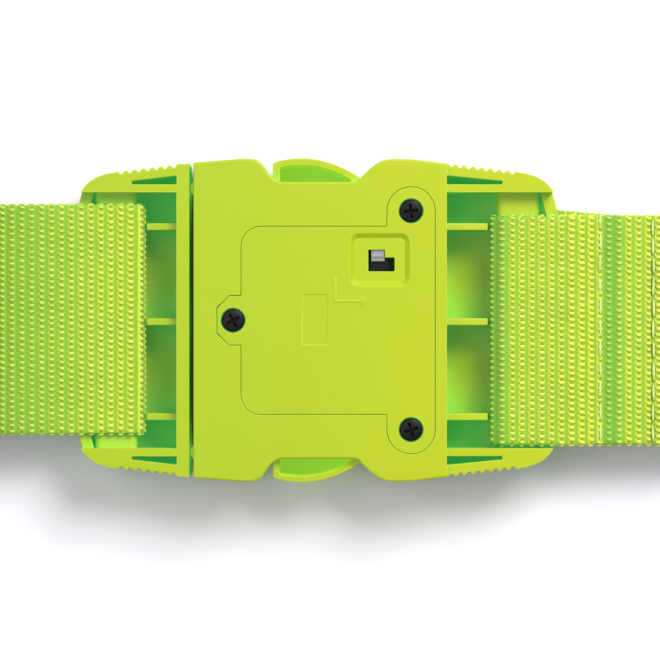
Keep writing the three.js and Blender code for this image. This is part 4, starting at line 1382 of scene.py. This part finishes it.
# ---- Strap --------------------------------------------------------------------------------------
class SideView:
    """A path in the XZ plane, in mm, drawn with lines, arcs and soft steps."""

    LINE_STEP = 0.25
    ARC_STEP = 0.2
    CURVE_STEPS = 80

    def __init__(self, x: float, z: float) -> None:
        """Starts the path at a point."""
        self.points: list[Point] = [(x, z)]

    def line(self, x: float, z: float) -> "SideView":
        """Adds a straight run.

        Args:
            x, z: Its end.

        Returns:
            The path.
        """
        x0, z0 = self.points[-1]
        count = max(int(math.hypot(x - x0, z - z0) / self.LINE_STEP), 1)
        self.points += [(x0 + (x - x0) * i / count, z0 + (z - z0) * i / count)
                        for i in range(1, count + 1)]
        return self

    def bezier(self, a: Point, b: Point, c: Point) -> "SideView":
        """Adds a cubic curve.

        Args:
            a, b: Its handles.
            c: Its end.

        Returns:
            The path.
        """
        p = self.points[-1]
        for i in range(1, self.CURVE_STEPS + 1):
            t = i / self.CURVE_STEPS
            w = ((1 - t) ** 3, 3 * t * (1 - t) ** 2, 3 * t * t * (1 - t), t ** 3)
            self.points.append(tuple(sum(k * q[n] for k, q in zip(w, (p, a, b, c))) for n in (0, 1)))
        return self

    def ease(self, x: float, z: float) -> "SideView":
        """Adds a soft step to another level."""
        x0, z0 = self.points[-1]
        return self.bezier(((x0 + x) / 2, z0), ((x0 + x) / 2, z), (x, z))

    def arc(self, x: float, z: float, radius: float, start: float, end: float) -> "SideView":
        """Adds an arc.

        Args:
            x, z: Its centre.
            radius: Its radius.
            start, end: Its angles, in degrees.

        Returns:
            The path.
        """
        count = max(int(abs(math.radians(end - start)) * radius / self.ARC_STEP), 8)
        angles = [math.radians(start + (end - start) * i / count) for i in range(1, count + 1)]
        self.points += [(x + radius * math.cos(a), z + radius * math.sin(a)) for a in angles]
        return self

    def curve(self, a: Point, c: Point) -> "SideView":
        """Adds a quadratic curve through one handle to its end."""
        first, second = (tuple(q[n] + (a[n] - q[n]) * 2 / 3 for n in (0, 1)) for q in (self.points[-1], c))
        return self.bezier(first, second, c)

    def even(self, step: float) -> tuple[np.ndarray, np.ndarray, np.ndarray]:
        """Points one step apart along the path.

        Args:
            step: Distance between points, in mm.

        Returns:
            The points, their outward normals and their distances along the path.
        """
        raw = np.array(self.points)
        gaps = np.hypot(*np.diff(raw, axis=0).T)
        raw = raw[np.concatenate([[True], gaps > 1e-9])]
        walked = np.concatenate([[0.0], np.cumsum(np.hypot(*np.diff(raw, axis=0).T))])
        count = max(int(round(walked[-1] / step)), 1)
        at = np.linspace(0.0, walked[-1], count + 1)
        line = np.stack([np.interp(at, walked, raw[:, n]) for n in (0, 1)], axis=1)
        along = np.gradient(line, axis=0)
        along /= np.linalg.norm(along, axis=1)[:, None]
        return line, np.stack([-along[:, 1], along[:, 0]], axis=1), at


@dataclass
class Stretch:
    """One stretch of 50 mm webbing: a ribbed slab along a side view, with floats on its ribs.

    Sizes are in mm, and a float's are its length, width and height.
    """

    name: str
    path: SideView
    body: str
    middle: float
    nodes: tuple[str, ...]
    held: str
    rests_on: tuple[str, ...]
    width: float = 50.0
    thickness: float = 1.4
    rib: float = 2.15
    yarn: float = 1.3
    step: float = 0.27
    relief: float = 0.2
    floats: bool = True
    float_from: float = 0.0
    float_to: float = 1e9
    float_size: Triple = (1.42, 0.84, 0.34)
    loud_size: Triple = (1.65, 0.98, 0.38)
    edge_size: Triple = (1.35, 0.95, 0.30)
    leans: tuple[float, ...] = (0.0, -0.38, 0.0, -0.26)
    loud_lean: float = -0.18
    lowest: float = 0.02
    drift: Callable[[float], float] | None = None
    loud: Callable[[Point, Point], bool] | None = None

    def columns(self) -> list[Point]:
        """Places across the strap with their share of its thickness, from one edge to the other.

        Returns:
            The places and shares.
        """
        edge = [(0.0, 0.30), (0.12, 0.62), (0.4, 0.88), (0.9, 1.0)]
        inner = np.linspace(2.0, self.width - 2.0, 24)
        across = edge + [(float(y), 1.0) for y in inner] + [(self.width - y, t) for y, t in reversed(edge)]
        return [(y - self.width / 2, share) for y, share in across]

    def shift(self, x: float) -> float:
        """Where the strap's middle runs, across it."""
        return self.middle + (self.drift(x) if self.drift else 0.0)

    def unevenness(self, y: float, share: float, s: float, phase: np.ndarray) -> Point:
        """How far cloth leaves an even slab.

        Args:
            y: The place across the strap.
            share: Its share of the thickness.
            s: The distance along the strap.
            phase: Where its slow waves start.

        Returns:
            How far it stands proud and how far it lies to the side.
        """
        lump = 0.04 * math.sin(y * 0.41 + s * 0.11 + phase[0]) * share
        lump += 0.03 * math.sin(y * 0.23 - s * 0.27 + phase[1]) * share
        wander = 0.10 * math.sin(TURN * s / self.rib) * (1 if share < 0.7 else 0)
        wander += 0.12 * math.sin(s * 0.13 + phase[2])
        return (lump if self.relief else 0.0), wander

    def slab(self) -> bpy.types.Mesh:
        """The ribbed slab, closed at its edges and ends, with a UV map that counts ribs and yarns.

        Returns:
            The mesh.
        """
        line, normal, at = self.path.even(self.step)
        columns = self.columns()
        phase = np.random.default_rng(7).uniform(0, 6.28, 6)
        verts, uvs = [], []
        for (x, z), (nx, nz), s in zip(line, normal, at):
            crest = 0.5 - 0.5 * math.cos(TURN * s / self.rib)
            half = self.thickness / 2 - self.relief * (1 - crest)
            for side in (1, -1):
                for y, share in (columns if side == 1 else reversed(columns)):
                    lump, wander = self.unevenness(y, share, s, phase)
                    off = side * half * share + lump
                    verts.append(((x + nx * off) * MM, (self.shift(x) + y + wander) * MM,
                                  max(self.lowest, z + nz * off) * MM))
                    uvs.append((s / self.rib, (y + self.width / 2) / self.yarn))
        ring, last = len(columns) * 2, len(line) - 1
        faces = []
        for a, b in ((i * ring, (i + 1) * ring) for i in range(last)):
            faces += [(a + k, a + (k + 1) % ring, b + (k + 1) % ring, b + k) for k in range(ring)]
        for base, flip in ((0, False), (last * ring, True)):
            for k in range(len(columns) - 1):
                quad = (base + k, base + ring - 1 - k, base + ring - 2 - k, base + k + 1)
                faces.append(tuple(reversed(quad)) if flip else quad)
        mesh = bpy.data.meshes.new(self.name)
        mesh.from_pydata(verts, [], faces)
        layer = mesh.uv_layers.new(name="weave")
        corners = np.zeros(len(mesh.loops), np.int32)
        mesh.loops.foreach_get("vertex_index", corners)
        layer.data.foreach_set("uv", np.array(uvs, np.float32)[corners].ravel())
        shape = bmesh.new()
        shape.from_mesh(mesh)
        bmesh.ops.recalc_face_normals(shape, faces=shape.faces)
        shape.to_mesh(mesh)
        shape.free()
        mesh.shade_smooth()
        return mesh

    def float_places(self, loud: bool) -> list[Spot]:
        """Where the floats lie, how they point and how large they are.

        Args:
            loud: Whether to give the bright ones at the seam, or the others.

        Returns:
            The places, in metres.
        """
        line, normal, at = self.path.even(0.05)
        chance = random_stream(self.name)
        side = self.width / 2
        out = self.thickness / 2 - 0.10
        size = Vector(self.loud_size if loud else self.float_size) * MM
        spots = []
        for row in range(int(at[-1] / self.rib)):
            s = (row + 0.5) * self.rib
            if not self.float_from <= s <= self.float_to:
                continue
            i = min(int(s / at[-1] * (len(line) - 1)), len(line) - 1)
            (x, z), (nx, nz) = line[i], normal[i]
            if bool(self.loud and self.loud((x, z), (nx, nz))) != loud:
                continue
            shift = self.shift(x)
            up, along = Vector((nx, 0, nz)), Vector((nz, 0, -nx))
            lean = self.loud_lean if loud else self.leans[row % 4]
            for k in range(int(self.width / self.yarn)):
                y = -side + (k + 0.5 + 0.5 * (row % 2)) * self.yarn
                if y > side - 0.3:
                    continue
                y += chance.uniform(-0.06, 0.06)
                tilt = lean + chance.uniform(-0.12, 0.12)
                heading = (along * math.cos(tilt) + Vector((0, 1, 0)) * math.sin(tilt)).normalized()
                spots.append((Vector((x + nx * out, shift + y, z + nz * out)) * MM, heading, up, size))
            for edge in (-1, 1):
                spots.append((Vector((x, shift + edge * (side - 0.02), z)) * MM, along,
                              Vector((0, edge, 0)), Vector(self.edge_size) * MM))
        return spots

    def build(self) -> bpy.types.Object:
        """Returns:
            The slab.
        """
        length = float(self.path.even(self.step)[2][-1])
        slab = dressed(self.slab(), self.name, Finish.WEBBING, self.body)
        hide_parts(*self.nodes)
        kinds = ((False, Finish.FLOATS, "_floats"), (True, Finish.LOUD_FLOATS, "_seam_floats"))
        for loud, finish, label in kinds if self.floats else ():
            places = self.float_places(loud)
            if places:
                mesh = Scatter(self.name + label, 0.10, 11).build(crowned_bead(), places, finish)
                dressed(mesh, self.name + label, finish, self.body)
        self.width * MM
        LOG.info("%s: flat %.0f x %.0f mm", self.name, self.width, length)
        return slab


def random_stream(label: str) -> np.random.Generator:
    """A fixed stream of random numbers for one label."""
    return np.random.default_rng(sum(ord(c) * (i + 1) for i, c in enumerate(label)))


@dataclass
class Strap:
    """The strap in its stretches, from the sewn end to the stored roll. Sizes are in mm."""

    bar_z: float = 13.04
    rise: float = 2.5
    sewn_rise: float = 0.85
    turn_x: float = 40.7
    sewn_end_x: float = 77.0
    lying_z: float = 0.7
    housing_y: float = -2.2
    male_y: float = 0.2
    seam_x: float = 61.7
    second_row_x: float = 73.2
    stitch_lifts: Point = (0.78, 0.98)
    roll_x: float = -112.0
    roll_radius: float = 27.91
    pitch: float = 3.0
    turns: float = 6.25
    core_bend: float = 0.75

    def sewn_loop(self) -> Stretch:
        """Round the housing's bar and back on itself.

        Returns:
            The stretch.
        """
        low, high, sewn = self.bar_z - self.rise, self.bar_z + self.rise, self.bar_z + self.sewn_rise
        under = self.bar_z - self.sewn_rise
        path = SideView(self.sewn_end_x, under).line(self.seam_x, under)
        path.ease(56.0, low).line(self.turn_x, low)
        path.arc(self.turn_x, self.bar_z, self.rise, 270, 90).line(55.0, high)
        path.bezier((58.5, high), (60.2, sewn + 0.15), (self.seam_x, sewn - 0.12))
        path.bezier((62.6, sewn - 0.3), (63.4, sewn), (65.4, sewn)).line(self.sewn_end_x, sewn)
        return Stretch("strap_sewn_end", path, "housing", self.housing_y, ("strap_sewn_loop",), "folded",
                       ("housing_body_rounded",), float_from=18.0,
                       loud=lambda at, up: up[1] > 0.5 and 53.2 < at[0] < 60.8)

    def far_fold(self) -> Stretch:
        """Down past the seam to the table.

        Returns:
            The stretch.
        """
        top, low, start, bend = self.bar_z + self.sewn_rise, self.lying_z, self.sewn_end_x + 0.3, 79.0
        path = SideView(start, top).line(bend, top)
        path.arc(bend, (top + low) / 2, (top - low) / 2, 90, -90).line(start, low)
        return Stretch("strap_far_turn", path, "housing", self.housing_y, ("strap_far_fold",), "folded",
                       ("strap_sewn_end",))

    def aside(self, x: float) -> float:
        """How far the return run has swung over to the sewn end's side."""
        share = max(0.0, min(1.0, (x - 40.0) / 37.0))
        return self.housing_y * (share ** 2 * (3 - 2 * share))

    def return_run(self) -> Stretch:
        """Flat under the buckle, stretching as the male half slides out.

        Returns:
            The stretch.
        """
        path = SideView(self.sewn_end_x, self.lying_z).line(self.roll_x + 0.3, self.lying_z)
        return Stretch("strap_return", path, "", 0.0, ("strap_return_run",), "laid", ("strap_roll_wound",),
                       step=0.43, relief=0.12, floats=False, drift=self.aside)

    def adjuster_loop(self) -> Stretch:
        """From the roll, over the male half's frame, round its bar and back as a free tail.

        Returns:
            The stretch.
        """
        low, high = self.bar_z - self.rise, self.bar_z + self.rise
        path = SideView(self.roll_x + 0.3, 2.4).line(self.roll_x + 14, 2.4).ease(-60.0, high)
        path.line(-self.turn_x, high).arc(-self.turn_x, self.bar_z, self.rise, 90, -90).line(-56.0, low)
        path.curve((-64.0, low), (-72.0, low - 4))
        return Stretch("strap_adjuster", path, "male", self.male_y, ("strap_adjuster_loop",), "folded",
                       ("male_frame_rounded",), float_to=84.0)

    def wound(self) -> Stretch:
        """The stored length: two layers wound inwards together from the fold at the core.

        Returns:
            The stretch.
        """
        centre = (self.roll_x, self.roll_radius)
        start = self.roll_radius - self.lying_z
        path = SideView(centre[0], centre[1] - start)

        def at(radius: float, back: float) -> Point:
            """A point on the spiral, so many turns back from its outer end."""
            angle = -math.pi / 2 - back * TURN
            return centre[0] + radius * math.cos(angle), centre[1] + radius * math.sin(angle)

        count = 1400
        wind = self.pitch * self.turns
        path.points += [at(start - wind * i / count, self.turns * i / count) for i in range(1, count + 1)]
        x, z = path.points[-1]
        inner = start - wind
        mid = tuple(a + (c - a) / inner * self.core_bend for a, c in zip((x, z), centre))
        base = math.degrees(math.atan2(z - mid[1], x - mid[0]))
        path.arc(mid[0], mid[1], self.core_bend, base, base - 180)
        path.points += [at(start - self.pitch / 2 - wind * (1 - i / count), self.turns * (1 - i / count))
                        for i in range(1, count + 1)]
        return Stretch("strap_roll_wound", path, "male", 0.0, ("strap_roll",), "folded", ("strap_return",),
                       step=1.6, relief=0.0, thickness=1.38, float_to=172.0)

    def stitches(self) -> bpy.types.Object:
        """Two rows of lock stitches across the sewn end.

        Returns:
            The piece.
        """
        chance = random_stream("stitches")
        spots = []
        for x, lift in zip((self.seam_x, self.second_row_x), self.stitch_lifts):
            z = self.bar_z + self.sewn_rise + lift
            y = self.housing_y - 24.4
            while y < self.housing_y + 23.5:
                long = chance.uniform(3.6, 4.4)
                lean = chance.uniform(-0.05, 0.05)
                spots.append((Vector((x + chance.uniform(-0.12, 0.12), y + long / 2, z)) * MM,
                              Vector((math.sin(lean), math.cos(lean), 0)), UP,
                              Vector((long, 0.62, 0.34)) * MM))
                y += long + chance.uniform(0.35, 0.7)
        mesh = Scatter("seam_stitches", 0.04, 5).build(crowned_bead(10, 3, 1.4), spots, Finish.THREAD)
        return dressed(mesh, "seam_stitches", Finish.THREAD, "housing")

    def build(self) -> None:
        """Builds every stretch."""
        for stretch in (self.sewn_loop(), self.far_fold(), self.adjuster_loop(), self.wound()):
            stretch.build()
        run = self.return_run().build()
        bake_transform(run, "housing", "male", start=(0.020, 0, 0.0007), end=(-0.070, 0, 0.0007))
        self.stitches()


@dataclass
class RollTie:
    """The hook-and-loop band through the roll's core, with its end lapped on top."""

    thickness: float = 0.0012
    corner: float = 0.0026
    corner_steps: int = 8
    lap_thickness: float = 0.0009
    lap: Point = (-0.013, 0.012)
    lap_steps: int = 12
    lap_inset: float = 0.0003
    lap_curl: float = 0.00035
    lap_sunk: float = 0.0001

    @staticmethod
    def ribbon(shape: bmesh.types.BMesh, line: list[tuple[Vector, Vector]], half_width: float,
               thickness: float, closed: bool) -> None:
        """Adds a ribbon with rounded edges.

        Args:
            shape: The bmesh that it is added to.
            line: Points of its centre line, each with its outward direction.
            half_width: Half its width along X.
            thickness: Its thickness.
            closed: Whether its ends join.
        """
        edge = [(1.0, 0.25), (0.985, 0.6), (0.95, 0.9), (0.88, 1.0), (0.45, 1.0), (0.0, 1.0)]
        across = edge + [(-x, share) for x, share in reversed(edge[:-1])]
        section = across + [(x, -share) for x, share in reversed(across)]
        rings = [[shape.verts.new(point + Vector((x * half_width, 0, 0)) + out * (share * thickness / 2))
                  for x, share in section] for point, out in line]
        skin(shape, rings, closed)
        if not closed:
            shape.faces.new(rings[0])
            shape.faces.new(rings[-1])

    def build(self) -> bpy.types.Object:
        """Builds the band and its lapped end.

        Returns:
            The piece.
        """
        low, high = (Vector(corner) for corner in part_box("roll_tie"))
        x, half_width, inset = (low.x + high.x) / 2, (high.x - low.x) / 2, self.corner + self.thickness / 2
        line = []
        for y, z, start in ((high.y - inset, high.z - inset, 0), (low.y + inset, high.z - inset, 90),
                            (low.y + inset, low.z + inset, 180), (high.y - inset, low.z + inset, 270)):
            for step in range(self.corner_steps + 1):
                angle = math.radians(start + 90 * step / self.corner_steps)
                out = Vector((0, math.cos(angle), math.sin(angle)))
                line.append((Vector((x, y, z)) + out * self.corner, out))
        shape = bmesh.new()
        self.ribbon(shape, line, half_width, self.thickness, True)
        top = high.z + self.lap_thickness / 2 - self.lap_sunk
        shares = [step / self.lap_steps for step in range(self.lap_steps + 1)]
        lap = [(Vector((x, self.lap[0] + (self.lap[1] - self.lap[0]) * share,
                        top + self.lap_curl * share ** 4)), UP) for share in shares]
        self.ribbon(shape, lap, half_width - self.lap_inset, self.lap_thickness, False)
        piece = dressed(closed_up(shape, "roll_tie_band"), "roll_tie_band", Finish.TIE, "male")
        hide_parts("roll_tie")
        return piece


# ---- Studio -------------------------------------------------------------------------------------
@dataclass(frozen=True)
class Lamp:
    """A square soft light that faces the buckle, with its place and size in metres and its watts."""

    name: str
    place: Triple
    size: float
    power: float
    colour: Colour = (1.0, 0.985, 0.95)

    def build(self) -> None:
        """Adds the light."""
        lamp = bpy.data.lights.new(self.name, "AREA")
        lamp.shape, lamp.size, lamp.energy, lamp.color = "SQUARE", self.size, self.power, self.colour
        holder = placed(self.name, lamp)
        holder.location = self.place
        holder.rotation_euler = (-Vector(self.place)).to_track_quat("-Z", "Y").to_euler()


@dataclass
class Studio:
    """A pale table, a soft key light from the upper right, and the camera over the back face."""

    centre: Point = (2.8, -2.1)
    view_width: float = 142.9
    distance: float = 800.0
    face_z: float = 19.7
    sensor: float = 36.0
    floor_half: float = 1.6
    floor_gap: float = 0.0002
    floor_tones: tuple[Colour, Colour] = ((0.92, 0.91, 0.97), (0.94, 0.93, 0.99))
    air: Colour = (0.95, 0.91, 1.0)
    air_strength: float = 0.40
    lamps: tuple[Lamp, ...] = (Lamp("key", (0.42, 0.60, 0.85), 0.55, 12.6),
                               Lamp("fill", (-0.5, 0.1, 1.0), 0.8, 3.0))

    def table(self) -> None:
        """Adds the table top."""
        shape = bmesh.new()
        bmesh.ops.create_grid(shape, x_segments=8, y_segments=8, size=self.floor_half)
        floor = placed("table", from_bmesh(shape, "table"))
        floor.data.transform(Matrix.Translation((0, 0, CAD_BOX[0][2] - self.floor_gap)))
        s = Shader("table_white")
        tone = s.mixed(s.noise(s.place(), 60.0), *self.floor_tones)
        floor.data.materials.append(s.finish(Base_Color=tone, Roughness=0.9, Specular_IOR_Level=0.1))

    def camera(self) -> None:
        """Adds the camera, which looks straight down."""
        camera = bpy.data.cameras.new("camera")
        camera.sensor_width = self.sensor
        camera.lens = self.sensor * self.distance / self.view_width
        camera.clip_start, camera.clip_end = 0.05, 20.0
        eye = placed("camera", camera)
        eye.location = (self.centre[0] * MM, self.centre[1] * MM, (self.face_z + self.distance) * MM)
        bpy.context.scene.camera = eye

    def build(self) -> None:
        """Builds the table, the lights and the camera."""
        scene = bpy.context.scene
        scene.view_settings.view_transform = "Standard"
        scene.view_settings.look = "None"
        self.table()
        world = bpy.data.worlds.new("studio")
        world.use_nodes = True
        colour, strength = world.node_tree.nodes["Background"].inputs[:2]
        colour.default_value = (*self.air, 1.0)
        strength.default_value = self.air_strength
        scene.world = world
        for lamp in self.lamps:
            lamp.build()
        self.camera()
        LOG.info("studio: ready")


def main() -> None:
    """Builds the studio and every sub-assembly, in order."""
    for assembly in (Studio(), Buckle(), CoverScrews(), LockWorks(), LockSprings(), DialNumerals(), Strap(),
                     RollTie()):
        assembly.build()


if __name__ == "__main__":
    main()
